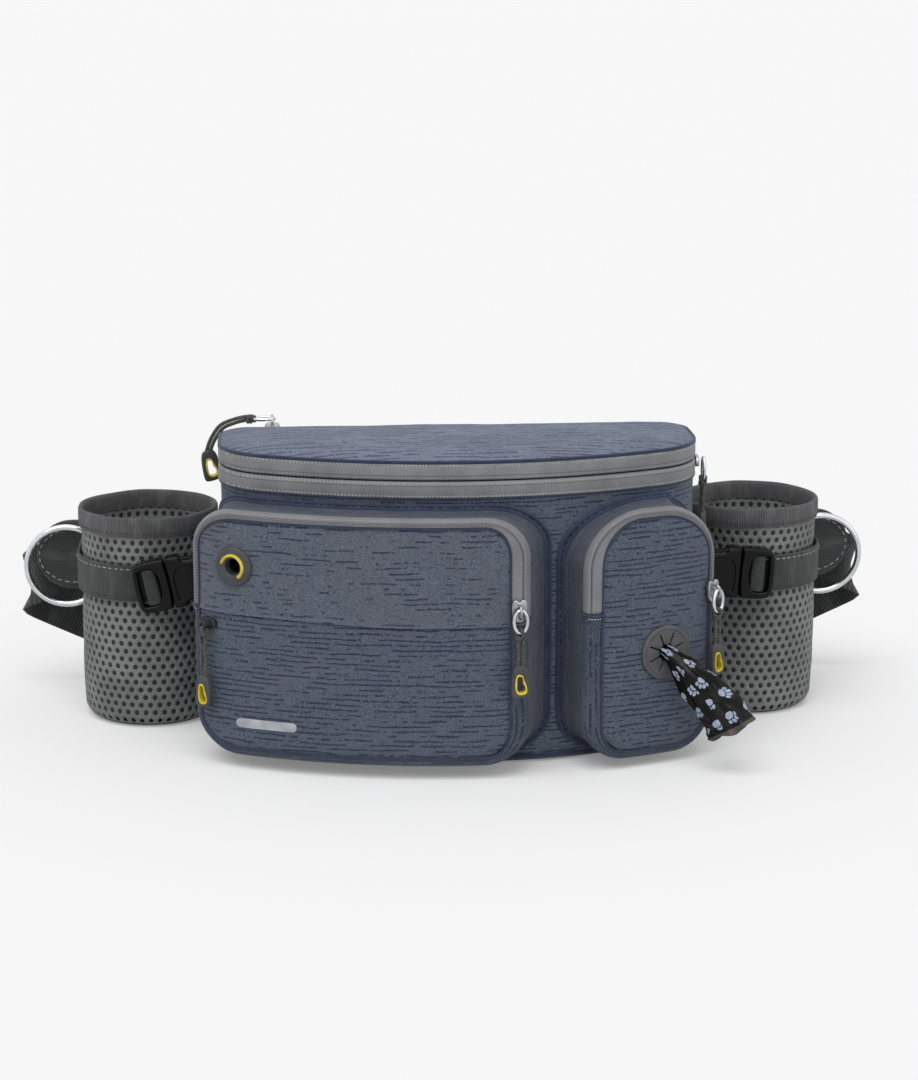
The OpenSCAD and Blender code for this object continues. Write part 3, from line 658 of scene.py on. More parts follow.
# the back wall rises behind the zip band, up to the lid's hinge
x_back = BAG_W / 2 - BACK_R
rise = [(BACK_Y - WALL_T, BODY_H - 2), (BACK_Y - WALL_T, LID_Z - 1.4),
        (BACK_Y - WALL_T / 2, LID_Z - 0.5), (BACK_Y, LID_Z - 1.4), (BACK_Y, BODY_H - 2)]
body.grid([[(x, y, z) for y, z in rise] for x in steps(-x_back, x_back, 40)])
body.make([BLUE_BODY, LINING], "bag", "blue_fabric", "main_shell")

base_seam = Piece("base_seam")
base_seam.tube([(x, y, 3.4) for x, y in plan_loop(-0.1)], 0.95, 8, closed=True)
base_seam.stitches([(x, y, 5.6) for x, y in plan_loop(0.15)], 3.4, 2.2, 0.22, mat=1)
base_seam.make([NAVY, SEAM], "bag", "blue_fabric")


def band_path(d, z, side_steps=4):
    """The zip band's line: forward on the left side, round the front, back on the right."""
    line = [(-BAG_W / 2 - d, y, z) for y in steps(BACK_Y - BACK_R, CORNER_Y, side_steps)[:-1]]
    line += [(*wall(a, d), z) for a in front_facings(2.2)]
    return line + [(BAG_W / 2 + d, y, z)
                   for y in steps(CORNER_Y, BACK_Y - BACK_R, side_steps)[1:]]


def band(half, rows, dark_row, body_name):
    """Half of the main zip band: a shallow padded profile run round the front."""
    piece = Piece("main_zip_" + half)
    piece.grid(list(zip(*[band_path(d, z, 5) for d, z in rows])), wrap_v=True, caps=True,
               mat=lambda i, j: int(j == dark_row))
    piece.make([TAPE, ZIP_DARK], body_name, "grey_zip_tape", "main_zip_tape_" + half, levels=1)


ZIP_Z = BODY_H + BAND_H / 2
half_band = [(-WALL_T, 0.1), (0.1, 0), (0.7, 0.8), (1.0, 3), (1.1, 6), (0.9, BAND_H / 2 - 0.9),
             (0.3, BAND_H / 2 - 0.25), (-WALL_T, BAND_H / 2 - 0.2)]
band("lower", [(d, BODY_H + z) for d, z in half_band], 6, "bag")
band("upper", [(d, LID_Z - z) for d, z in half_band[::-1]], 0, "lid")
for half, body_name, sign in (("lower", "bag", -1), ("upper", "lid", 1)):
    trim = Piece("zip_stitches_" + half)
    trim.stitches(band_path(0.95, ZIP_Z + sign * 8.3), 1.9, 1.1, 0.34)
    trim.tube(band_path(0.55, ZIP_Z + sign * 9.35), 0.5, 6, mat=1)
    trim.make([TICK, NAVY], body_name, "grey_zip_tape")
gap_strip = Piece("zip_coil")
gap_strip.grid([[(*p[:2], z) for z in (ZIP_Z - 1.1, ZIP_Z - 0.12)]
                for p in band_path(-0.9, 0)])
gap_strip.make([ZIP_DARK], "bag", "grey_zip_tape", thick=0.8)

# the lid: a crowned panel in columns from its curved front edge to its hinge
lid = Piece("lid_panel")
lid_x = BAG_W / 2 + 0.2
rows = []
for x in lid_x * np.sin(np.linspace(-math.pi / 2, math.pi / 2, 121)):
    front_y = wall(facing(x, 0.2), 0.2)[1]
    over = max(0.0, abs(x) - x_back)
    bend = math.sqrt(max(0, (BACK_R + 0.2) ** 2 - over ** 2))
    rear_y = min(BACK_Y - 0.5, BACK_Y - BACK_R + bend)
    near = lid_x - abs(x)
    col = []
    for y in front_y + (rear_y - front_y) * eased(40):
        rim = min(y - front_y, rear_y - y + 1.5, near * 0.55)
        rise = 0.5 * (1 - math.exp(-rim / 0.5)) + 4.3 * (1 - math.exp(-max(0, rim) / 13))
        soft = min(1.0, rim / 12)
        rise += (0.8 * wobble((x, y * 2.2, 0), 40, 5) + 0.3 * wobble((x, y * 3, 0), 15, 2)) * soft
        col.append((x, y, LID_Z + 0.1 + max(0, rise)))
    rows.append(col)
lid.grid(rows)
lid.make([BLUE_LID, LINING], "lid", "blue_fabric", "top_panel", thick=1.5, inner=1)
lid_piping = Piece("lid_piping")
lid_piping.tube([(x, min(y, BACK_Y - 0.6), LID_Z + 0.35) for x, y in plan_loop(0.35)], 0.8, 8,
                closed=True)
lid_piping.make([NAVY], "lid", "blue_fabric")
hinge = Piece("lid_hinge_cloth")
hinge.grid([[(x, BACK_Y + 0.35 + 0.12 * wobble((x, 0, z), 9), z)
             for z in steps(BODY_H + 8, LID_Z + 0.8, 6)] for x in steps(-x_back, x_back, 60)])
hinge.make([LINING], "bag", "grey_zip_tape", "lid_hinge_strip", thick=0.5, offset=0)

for side, s in (("left", -1), ("right", 1)):
    corner = Piece(side + "_corner_cloth")
    inset, sweep = 1.2, np.radians(np.linspace(-12, 94, 24))
    corner.grid([[(s * (x_back + (BACK_R - inset) * math.cos(a)),
                   BACK_Y - BACK_R + (BACK_R - inset) * math.sin(a), z)
                  for z in steps(BODY_H - 3, LID_Z - 0.9, 10)] for a in sweep])
    corner.make([BLUE_SIDE_PAINTED_SHADE], "bag", "blue_fabric", thick=0.7, offset=0)

# ---------------------------------------------------------------- rear compartment
REAR_W, REAR_TOP, REAR_D, PANEL_T = BAG_W - 16, LID_Z - 2.2, 11.5, 5.7
REAR_Y0 = BACK_Y + 0.8
PANEL_Y0 = REAR_Y0 + REAR_D + 0.3
PANEL_Y1 = PANEL_Y0 + PANEL_T


def rounded(x0, x1, z0, z1, r_top, r_low, gap=3.0):
    """A rounded front outline, bottom left corner first, with points about gap apart."""
    def corner(cx, cz, r, a):
        k = max(4, int(r * 1.57 / gap * 1.4))
        return [(cx + r * math.cos(math.radians(b)), cz + r * math.sin(math.radians(b)))
                for b in steps(a, a + 90, k)]
    marks = corner(x0 + r_low, z0 + r_low, r_low, 180)
    marks += corner(x1 - r_low, z0 + r_low, r_low, 270)
    marks += corner(x1 - r_top, z1 - r_top, r_top, 0)
    marks += corner(x0 + r_top, z1 - r_top, r_top, 90)
    line = []
    for a, b in zip(marks, marks[1:] + marks[:1]):
        k = max(1, int(math.dist(a, b) / gap))
        line += [(a[0] + (b[0] - a[0]) * i / k, a[1] + (b[1] - a[1]) * i / k) for i in range(k)]
    return np.array(line)


def normals_2d(line):
    """Outward unit normals of a closed outline that runs anticlockwise."""
    t = np.roll(line, -1, 0) - np.roll(line, 1, 0)
    n = np.stack([t[:, 1], -t[:, 0]], 1)
    return n / np.linalg.norm(n, axis=1)[:, None]


def unbroken(ks):
    """Indices on a closed line, turned so that a run across its start isn't cut."""
    cut = next((i for i in range(len(ks) - 1) if ks[i + 1] != ks[i] + 1), -1) + 1
    return ks[cut:] + ks[:cut]


line = rounded(-REAR_W / 2, REAR_W / 2, 3, REAR_TOP, 16, 16)
n_line = normals_2d(line)
for q in line:  # the soft top sags between its ends
    if q[1] > REAR_TOP - 1:
        q[1] -= 2.4 * max(0.0, math.cos(math.pi * q[0] / 190))
rear = Piece("rear_gusset")
rows = []
for d, inset in [(0, 0.3), (1.5, 0), (REAR_D / 2, 0.8), (REAR_D - 1, 0.1), (REAR_D + 0.2, 0.2)]:
    rows.append([(p[0], REAR_Y0 + d, p[1]) for p in line - n_line * inset])
rear.grid(rows, wrap_v=True)
rear.make([BLUE_SIDE_PAINTED_SHADE, LINING], "bag", "blue_fabric", "rear_pocket_gusset", thick=1.8, inner=1)
rear_piping = Piece("rear_piping")
rear_piping.tube([(p[0], REAR_Y0 + 0.4, p[1]) for p in line - n_line * 0.4], 0.8, 8, closed=True)
pad_line = rounded(-REAR_W / 2 - 3, REAR_W / 2 + 3, 1.4, REAR_TOP - 2, 18, 18)
rear_piping.tube([(p[0], PANEL_Y0 + 0.6, p[1]) for p in pad_line], 1.25, 8, closed=True)
rear_piping.make([NAVY], "bag", "blue_fabric")
taped = unbroken([k for k in range(len(line)) if line[k][1] > REAR_TOP - 34])
rear_tape = Piece("rear_zip")
y0, y1 = REAR_Y0 + 1, PANEL_Y0 - 0.7
ym = (y0 + y1) / 2
profile = [(y0, -0.1), (y0 + 0.3, 0.7), (ym - 1.2, 1.1), (ym - 0.3, 0.9), (ym, 0.35),
           (ym + 0.3, 0.9), (ym + 1.2, 1.1), (y1 - 0.3, 0.7), (y1, -0.1)]
rear_tape.grid([[(line[k][0] + n_line[k][0] * g, y, line[k][1] + n_line[k][1] * g)
                 for y, g in profile] for k in taped], mat=lambda i, j: int(j in (3, 4)))
rear_tape.make([TAPE, ZIP_DARK], "bag", "grey_zip_tape", "rear_zip_tape", levels=1)


def rear_pad():
    """The padded back: air mesh quilted into three columns, puffed between its channels."""
    x0, x1, z0, z1 = -REAR_W / 2 - 3, REAR_W / 2 + 3, 1, REAR_TOP - 2
    xs = (x0 + x1) / 2 + (x1 - x0) / 2 * np.sin(np.linspace(-math.pi / 2, math.pi / 2, 121))
    channels = (-42, 42)
    r, rim_most, seam_most = 18, 14, 22
    front, puffed = [], []
    for x in xs:
        near = min(x - x0, x1 - x)
        cut = r - math.sqrt(max(0, r ** 2 - (r - near) ** 2)) if near < r else 0
        col_f, col_b = [], []
        for t in eased(64):
            z = z0 + cut + (z1 - z0 - 2 * cut) * t
            rim = max(0.0, min(near, z - z0, z1 - z, rim_most))
            seam = min(abs(x - c) for c in channels)
            seam = min(seam, seam_most) if abs(z - (z0 + z1) / 2) < 60 else seam_most
            puff = 5.1 * (1 - math.exp(-rim / 3.2)) - 3.1 * math.exp(-(seam / 3.0) ** 1.3)
            puff += 0.5 * wobble((x, 0, z), 26, 4)
            col_b.append((x, PANEL_Y0 + 0.3 + max(0.25, puff), z))
            col_f.append((x, PANEL_Y0 + 0.1, z))
        front.append(col_f)
        puffed.append(col_b)
    uv = np.array([[(p[0], p[2]) for p in col] for col in puffed])
    pad = Piece("back_pad")
    pad.grid(puffed, uv).grid(front, uv, mat=1)
    o = pad.make([PADMESH, LINING], "bag", "grey_mesh", "back_panel")
    seams = Piece("back_pad_stitching")
    for c in channels:
        seams.stitches([(c, PANEL_Y0 + 3.2, z) for z in steps(24, 134, 40)], 3.2, 2.2, 0.3)
    seams.make([PALE], "bag", "grey_mesh")


rear_pad()

# ---------------------------------------------------------------- front pockets


class Pocket:
    """A front pocket in wall space: X and Z of its front outline, and depth from the bag."""

    def __init__(self, side, x0, x1, z0, r_top, r_low, root_left, root_right):
        self.side, self.box, self.radii = side, (x0, x1, z0, POCKET_TOP), (r_top, r_low)
        self.ends = facing(x0, POCKET_D), facing(x1, POCKET_D)
        self.roots = root_left, root_right
        self.line = rounded(x0, x1, z0, POCKET_TOP, r_top, r_low, gap=2.2)
        self.normals = normals_2d(self.line)

    def at(self, x, z, d):
        x0, x1 = self.box[:2]
        a = facing(min(max(x, x0), x1), POCKET_D)
        spill = min(0, x - x0) + max(0, x - x1)
        p = wall(a, d if d >= POCKET_D else POCKET_D)
        if d < POCKET_D:
            q = (a - self.ends[0]) / (self.ends[1] - self.ends[0])
            root = wall(self.roots[0] + q * (self.roots[1] - self.roots[0]), 0)
            p = root + (p - root) * d / POCKET_D
        return (p[0] + spill * -unit(a)[1], p[1] + spill * unit(a)[0], z)

    def along(self, x):
        """Distance along the wall at the pocket's face, which a pattern follows."""
        a = math.radians(facing(x, POCKET_D) - 270)
        t = math.radians(TURN)
        run = (FRONT_R + POCKET_D) * max(-t, min(t, a))
        return run + (CORNER_R + POCKET_D) * (a - max(-t, min(t, a)))

    def run(self, keep, profile):
        """Rows of a profile of (inset, depth) along the outline where keep(k) holds."""
        rows = []
        for k in unbroken([k for k in range(len(self.line)) if keep(k)]):
            (x, z), (nx, nz) = self.line[k], self.normals[k]
            rows.append([self.at(x - nx * i, z - nz * i, d) for i, d in profile(k)])
        return rows

    def strip(self, piece, keep, profile, mat=0, closed=False):
        piece.grid(self.run(keep, profile), wrap_u=closed, mat=mat)

    def trail(self, keep, inset, depth):
        """Points along the outline at one inset and depth."""
        return [row[0] for row in self.run(
            keep, lambda k: [(inset(k) if callable(inset) else inset, depth)])]


LEFT = Pocket("left", -BAG_W / 2 - 15.2, 30, 7, 22, 22, 183, facing(43, 0))
RIGHT = Pocket("right", 61, BAG_W / 2 + 6, 5, 30, 22, facing(50, 0), 336)
LEFT.wide, RIGHT.wide = 1, -1  # the side on which the tape is widest


def tape_width(p):
    """How wide the front strip is at each outline point: wide at the side, thin across."""
    def width(k):
        nx, nz = p.normals[k]
        side = max(0.0, nx * p.wide)
        other = max(0.0, -nx * p.wide)
        return 4.2 + 4.0 * side ** 2 - 1.2 * other ** 2 - 0.6 * max(0.0, -nz) ** 2
    return width


def build_pocket(p):
    """The gusset, the zip tape over its upper part, and the seams of both."""
    width = tape_width(p)
    high = lambda k: p.line[k][1] >= TAPE_Z - 0.5
    low = lambda k: p.line[k][1] <= TAPE_Z + 2.0
    every = lambda k: True

    def gusset_profile(k):
        sag = 1.6 + 0.6 * wobble((*p.line[k], 0), 16, 2)
        return [(0.9, 19.5), (0.8, 15), (0.6 + sag * 0.6, 10.5), (0.5 + sag * 0.6, 6),
                (0.3, 2.5), (0.1, 0.9), (0.0, -0.8)]

    def front_profile(k):
        w = width(k)
        return [(w + 1.0, 24.6), (w + 0.15, 25.6), (w * 0.72, 26.05), (w * 0.4, 26.0),
                (1.0, 25.4), (0.25, 24.2), (0.0, 22.2), (0.35, 19.2)]

    def tape_profile(k):
        w = width(k)
        return [(w + 0.9, 24.9), (w + 0.1, 26.0), (w * 0.78, 26.4), (w * 0.35 + 0.9, 26.55),
                (2.15, 26.5), (1.95, 26.2), (1.7, 26.42), (1.0, 26.0), (0.2, 24.8),
                (-0.1, 22.4), (0.0, 19.5), (0.7, 17.9)]

    gusset = Piece(p.side + "_gusset")
    p.strip(gusset, every, gusset_profile, closed=True)
    p.strip(gusset, low, front_profile)
    gusset.make([BLUE_SIDE_PAINTED_SHADE, LINING], "bag", "blue_fabric", p.side + "_pocket_gusset", thick=1.3,
                inner=1)
    tape = Piece(p.side + "_pocket_tape")
    p.strip(tape, high, tape_profile, lambda i, j: 1 if j == 4 else 2 if j > 8 else 0)
    tape.make([TAPE_POCKET, ZIP_DARK, BLUE_SIDE_PAINTED_SHADE], "bag", "grey_zip_tape",
              p.side + "_pocket_zip_tape", thick=0.9, levels=1)

    trim = Piece(p.side + "_pocket_seams")
    for inset, depth, r in ((lambda k: width(k) + 0.45, 25.75, 0.62), (0.25, 2.3, 1.0),
                            (-1.5, 0.9, 1.15)):
        trim.tube(p.trail(every, inset, depth), r, sides=7, closed=True)
    trim.stitches(p.trail(every, -0.9, 2.4), 4.4, 2.6, 0.24, mat=3, jitter=0.9)
    trim.stitches(p.trail(high, 2.75, 26.56), 1.5, 0.75, 0.2, mat=2)
    trim.stitches(p.trail(high, 1.0, 26.15), 1.5, 0.75, 0.22, mat=4)
    tape_line = p.trail(high, 0, POCKET_D)
    for end in (tape_line[0], tape_line[-1]):  # a folded hem where the tape stops
        mine = [k for k in range(len(p.line)) if abs(p.line[k][1] - TAPE_Z) < 1.4]
        near = min(mine, key=lambda k: math.dist(p.at(*p.line[k], POCKET_D), end))
        x, nx, w = p.line[near][0], p.normals[near][0], width(near)
        hem = [p.at(x - nx * i, TAPE_Z + (0.6 if i < 1 else 0), d)
               for i, d in ((w, 26.3), (w * 0.6, 26.6), (w * 0.3, 26.5), (0.6, 25.9), (0, 24.3),
                            (-0.2, 22), (0.2, 19.5))]
        trim.tube(hem, 0.75, 8)
        trim.stitches([(q[0], q[1] - 0.5, q[2] - 1.3) for q in hem[:4]], 1.5, 1.0, 0.3, mat=1)
    trim.make([NAVY, PALE, ZIP_DARK, SEAM, TICK], "bag", "blue_fabric")


build_pocket(LEFT)
build_pocket(RIGHT)


def panel(p, name, low, high, mat, node, top_lip=0.0, hole=None):
    """A pocket's front panel between two heights, given as functions of x. The columns
    follow the rounded outline, inset by the tape's width; edges roll in and the middle
    stands full. hole is (facing, height, radius), opened by pulling points to its rim."""
    x0, x1, z0, z1 = p.box
    w_left = 3.0 if p.wide > 0 else 8.2
    w_right = 8.2 if p.wide > 0 else 3.0
    xa, xb = x0 + w_left * (0.62 if p is LEFT else 1), x1 - w_right * (0.7 if p is RIGHT else 1)
    za, zb = z0 + 3.6, z1 - 4.2
    r_top, r_low = p.radii[0] - 4.6, p.radii[1] - 3.6
    rows, uvs = [], []
    for x in xa + (xb - xa) * eased(150):
        near = min(x - xa, xb - x)
        drop = [r - math.sqrt(max(0.0, r * r - (r - near) ** 2)) if near < r else 0.0
                for r in (r_low, r_top)]
        bottom, top = max(za + drop[0], low(x)), min(zb - drop[1], high(x))
        col, uv_col = [], []
        for t in eased(70):
            z = bottom + (top - bottom) * t
            rim = max(0.0, min(near, z - (za + drop[0]), (zb - drop[1]) - z))
            full = 1 - math.exp(-rim / 2.6)
            d = 24.7 + 1.25 * full
            d += 0.9 * math.sin(math.pi * np.clip((x - xa) / (xb - xa), 0, 1)) * \
                math.sin(math.pi * np.clip((z - za) / (zb - za), 0, 1)) * full
            d += (0.55 * wobble((x, 0, z * 1.7), 30, 6) + 0.22 * wobble((x, 0, z), 10, 1)) * full
            if top_lip > 0:   # the lower panel tucks under the flap
                d -= 1.5 * math.exp(-max(0.0, high(x) - z) / 1.2)
            elif top_lip < 0:  # the flap's own edge stands a little proud
                d += 0.7 * math.exp(-max(0.0, z - low(x)) / 2.5)
            col.append((x, z, d))
            uv_col.append((p.along(x), z))
        rows.append(col)
        uvs.append(uv_col)
    rows = np.array(rows)
    if hole:
        hx, hz, hr, flat_r = hole
        stretch = abs(unit(facing(hx, POCKET_D))[1])
        dx, dz = (rows[..., 0] - hx) / stretch, rows[..., 1] - hz
        dist = np.hypot(dx, dz) + 1e-9
        ring = np.clip((dist - hr) / (flat_r * 0.8), 0, 1)
        rows[..., 2] = rows[..., 2] * ring + (POCKET_D + 0.1) * (1 - ring)
    piece = Piece(name)
    piece.grid([[p.at(*q) for q in col] for col in rows], uvs)
    if hole:
        middles = [np.mean(rows.reshape(-1, 3)[f], 0) for f in piece.faces]
        keep = [k for k, c in enumerate(middles)
                if math.hypot((c[0] - hx) / stretch, c[1] - hz) > hr]
        for each in (piece.faces, piece.uvs, piece.slots):
            each[:] = [each[k] for k in keep]
    piece.make([mat, LINING], "bag", "blue_fabric", node, thick=1.4, inner=1)


def flap(x):
    """The flap's edge: a seam that sags a little towards the right."""
    return FLAP_Z + 1.6 - 2.4 * (x + 141) / 171 + 0.5 * math.sin(x / 21)


GROMMET_X, GROMMET_Z = LEFT.box[0] + 22.2, 109
PORT_X, PORT_Z = RIGHT.box[1] - 28, 61
panel(LEFT, "left_flap_panel", flap, lambda x: 999, BLUE, "left_pocket_upper_panel",
      top_lip=-1, hole=(GROMMET_X, GROMMET_Z, 7.2, 12))
panel(LEFT, "left_lower_panel", lambda x: -999, lambda x: flap(x) + 0.6, BLUE_LOW,
      "left_pocket_lower_panel", top_lip=1)
panel(RIGHT, "right_front_panel", lambda x: -999, lambda x: 999, BLUE_LOW,
      "right_pocket_panel", hole=(PORT_X, PORT_Z, 11.5, 16))

# ---------------------------------------------------------------- grommet, port, bag, mark


def circle(r, n=48, turn=0.0):
    return [(r * math.cos(a + turn), r * math.sin(a + turn))
            for a in turn_of(n)]


def softened(line, times=3):
    """A closed outline with its corners cut round."""
    for _ in range(times):
        line = [q for a, b in zip(line, line[1:] + line[:1])
                for q in ((a[0] * 0.75 + b[0] * 0.25, a[1] * 0.75 + b[1] * 0.25),
                          (a[0] * 0.25 + b[0] * 0.75, a[1] * 0.25 + b[1] * 0.75))]
    return line


def placed(place, points):
    return [list(place @ Vector(p)) for p in points]


grommet_at = outward(on_wall(facing(GROMMET_X, POCKET_D), POCKET_D + 0.1, GROMMET_Z))
grommet = Piece("grommet_ring")
grommet.lathe([(4.25, -3.4), (4.25, 1.5), (4.5, 2.1), (5.2, 2.4), (8.2, 2.3), (8.6, 2.0),
               (8.9, 1.95), (9.2, 2.1), (9.9, 1.7), (10.4, 0.9), (10.5, 0.2), (10.2, -0.1),
               (6.4, -0.3), (6.2, -3.4)], grommet_at, sides=64)
grommet.make([RUBBER], "bag", "dark_rubber", "headphone_grommet")
accent = Piece("grommet_arc")
arc = [(6.15 * math.cos(a), 6.15 * math.sin(a), 2.5)
       for a in np.radians(np.linspace(-52, 170, 40))]
accent.tube(placed(grommet_at, arc), [1.5] * 3 + [1.3] * 35 + [0.8, 0.4], 10, flat=0.6)
accent.make([YELLOW], "bag", "yellow_rubber", "grommet_accent")

port_at = outward(on_wall(facing(PORT_X, POCKET_D), POCKET_D + 0.35, PORT_Z))
star = []
for i in range(8):
    a = math.radians(22.5 + 45 * i)
    c, s = math.cos(a), math.sin(a)
    star += [(r * c - w * s, r * s + w * c)
             for r, w in ((4.6, -0.38), (10.6, -0.38), (10.9, 0), (10.6, 0.38), (4.6, 0.38))]
port = Piece("port_disc")
port.plate([circle(14.4, 72), star], 1.3, 0.25, port_at @ Matrix.Translation((0, 0, 0.75)))
port.lathe([(12.0, 1.36), (12.3, 1.62), (13.3, 1.72), (14.2, 1.6), (14.55, 1.1), (14.55, 0.2),
            (13.8, -0.1)], port_at, sides=72)
port.make([GREY_RUBBER], "bag", "dark_rubber", "dispenser_port")


def smooth_path(points, step=1.5):
    """A Catmull-Rom line through the points, resampled about a step apart."""
    p = [np.array(q, float) for q in points]
    p = [2 * p[0] - p[1]] + p + [2 * p[-1] - p[-2]]
    line = []
    for a, b, c, d in zip(p, p[1:], p[2:], p[3:]):
        n = max(1, int(np.linalg.norm(c - b) / step))
        for t in np.arange(n) / n:
            line.append(0.5 * (2 * b + (c - a) * t + (2 * a - 5 * b + 4 * c - d) * t * t
                               + (3 * b - a - 3 * c + d) * t ** 3))
    return np.array(line + [p[-2]])


def waste_tail():
    """The loose end of a bag pulled through the port: a crumpled tube of thin film."""
    route = [(-2, 0, 0), (3.2, 0, 0), (9, 3, -5), (16, 8, -13), (22, 14, -22), (27, 19, -31),
             (30, 22, -38)]
    halves = [(3.4, 3.4), (3.8, 4.8), (4.8, 8.2), (5.4, 10.4), (6.0, 11.6), (6.8, 12.4),
              (7.6, 13.4)]
    place = on_wall(facing(PORT_X, POCKET_D), POCKET_D, PORT_Z)
    centre = smooth_path(route, 1.0)
    spot = np.linspace(0, 1, len(centre))
    marks = np.linspace(0, 1, len(halves))
    wide = np.interp(spot, marks, [h[0] for h in halves])
    tall = np.interp(spot, marks, [h[1] for h in halves])
    rows, uvs = [], []
    angles = np.linspace(0, 2 * math.pi, 97)
    for i, (c, t) in enumerate(zip(centre, directions(centre))):
        n = np.cross(t, (0, 0, 1))
        n /= np.linalg.norm(n)
        u = np.cross(n, t)
        s = spot[i]
        row = []
        for a in angles[:-1]:
            fold = 0.13 * math.sin(3 * a + 2.5 * s + 0.6) + 0.05 * math.sin(7 * a - 4 * s)
            fold += 0.22 * wobble((9 * math.cos(a), 9 * math.sin(a), 30 * s), 5)
            fold += 0.07 * wobble((9 * math.cos(a), 9 * math.sin(a), 50 * s), 1.8)
            r = 0.98 + fold * min(1, 0.3 + s * 1.3)
            lip = 3.4 * math.sin(2 * a + 0.4) + 1.5 * math.sin(5 * a) if s > 0.97 else 0
            q = c + n * wide[i] * r * math.cos(a) + u * tall[i] * r * math.sin(a) + t * lip * 0.5
            row.append(list(place @ Vector(q)))
        rows.append(row)
        uvs.append([(9.3 * a, i) for a in angles])
    rim = len(rows) - 3
    tail = Piece("bag_tail")
    tail.grid(rows, uvs, wrap_v=True, mat=lambda i, j: int(i >= rim))
    o = tail.make([FILM, FILM_EDGE], "bag", "black_film", "waste_bag_tail", thick=0.12, levels=1)


FILM_EDGE = plain("film_edge", "4a3f35", "211c18", rough=0.25, Coat_Weight=0.4)
waste_tail()

roll = Piece("bag_roll")
turns = np.linspace(0, 2 * math.pi * 7, 280)
spiral = [(4.0 + 5.9 * t / turns[-1], t) for t in turns]
rx, ry = wall(facing(PORT_X, POCKET_D), POCKET_D - WALL_T - 0.6 - 10)
roll.grid([[(rx + r * math.cos(t), ry + r * math.sin(t), z + 0.25 * wobble((t, r, z), 2))
            for z in steps(7.5, 63.2, 8)] for r, t in spiral])
roll.make([PLAIN_FILM], "waste_roll", "black_film", "waste_bag_roll", thick=0.45, offset=0)

mark = Piece("reflective_bar")
mx0 = LEFT.box[0] + 22
mark.grid([[LEFT.at(x, z, 26.62 + 0.18 * math.sin(math.pi * j / 4))
            for j, z in enumerate(steps(23 + lean, 28 - lean, 4))]
           for x, lean in [(mx0, 1.6), (mx0 + 0.8, 0.5), (mx0 + 1.8, 0)]
           + [(x, 0) for x in steps(mx0 + 3, mx0 + 28, 16)]
           + [(mx0 + 29.2, 0), (mx0 + 30.2, 0.5), (mx0 + 31, 1.6)]])
mark.make([SILVER_PRINT], "bag", "reflective_print", "reflective_mark", thick=0.3)

# ---------------------------------------------------------------- sides
HOLDER_R, MESH_T, HOLDER_H, RIM_H = 36, 1.5, 118, 10.5
NET_R, NET_CELLS, NET_ROWS, NET_HOLE, NET_BEND = 36.6, 46, 28, 0.54, 7
HOLDER_X = BAG_W / 2 + 3.5 + HOLDER_R + MESH_T
WING_Y0, WING_T, WING_Z, WING_H = PANEL_Y1 + 37.5, 5, 80, 40
HOLDER_Y = WING_Y0 - 0.3 - HOLDER_R - MESH_T
STRAP_W, STRAP_TOP = 20, 92
STRAP_R = HOLDER_R + MESH_T + 0.4 + WEB_T / 2
RING_X, RING_Y, RING_Z = HOLDER_X + STRAP_R + 9.3, WING_Y0 - 4.25, 75
RING_R, RING_WIRE = 22.2, 3.5
TIP_X = RING_X - 3
SIGN, SEED = dict(left=-1, right=1), dict(left=0.0, right=3.7)
BUCKLE_LEAN = dict(left=12, right=4)
BUCKLE_AT = (BAG_W / 2 + 25.02, HOLDER_Y - STRAP_R - WEB_T / 2 - 0.3 - 5, 85)


def ribbon(piece, path, width, thick=WEB_T, up=(0, 0, 1)):
    """Webbing along a path: a flat strip with rounded edges, its pattern along its length."""
    path = np.asarray(path, float)
    h, w = thick / 2, width / 2
    shape = [(-h * 0.5, -w), (-h, -w + 0.5)] + [(-h, x) for x in steps(-w + 1.5, w - 1.5, 5)] + \
        [(-h, w - 0.5), (-h * 0.5, w), (h * 0.5, w), (h, w - 0.5)] + \
        [(h, x) for x in steps(w - 1.5, -w + 1.5, 5)] + [(h, -w + 0.5), (h * 0.5, -w)]
    rows, uvs = [], []
    across = [b for _, b in shape] + [shape[0][1]]
    for c, t, s in zip(path, directions(path), lengths(path)):
        n = np.cross(t, up)
        n /= np.linalg.norm(n)
        u = np.cross(n, t)
        rows.append([c + n * a + u * b for a, b in shape])
        uvs.append([(s, b) for b in across])
    piece.grid(rows, uvs, wrap_v=True, caps=True)


def hex_net(around, rows, hole):
    """Cells of a knitted net, as points in cell widths, and their faces."""
    index, points, faces = {}, [], []
    ways = [(math.sin(math.radians(60 * k)), math.cos(math.radians(60 * k))) for k in range(6)]

    def put(x, y):
        key = (round(x % around, 3) % around, round(y, 3))
        if key not in index:
            index[key] = len(points)
            points.append((x, y))
        return index[key]

    reach = 1 / math.sqrt(3)
    for j in range(rows):
        for i in range(around):
            cx, cy = i + 0.5 * (j % 2), j * math.sqrt(3) / 2
            rim = [put(cx + reach * x, cy + reach * y) for x, y in ways]
            first = len(points)
            points.extend((cx + reach * hole * x * 0.92, cy + reach * hole * y * 1.08)
                          for x, y in ways)
            for k in range(6):
                k1 = (k + 1) % 6
                faces.append([rim[k], rim[k1], first + k1, first + k])
    return points, faces


def flip(side, points):
    """Points of the right side, mirrored for the left."""
    return [(p[0] * SIGN[side], p[1], p[2]) for p in points]


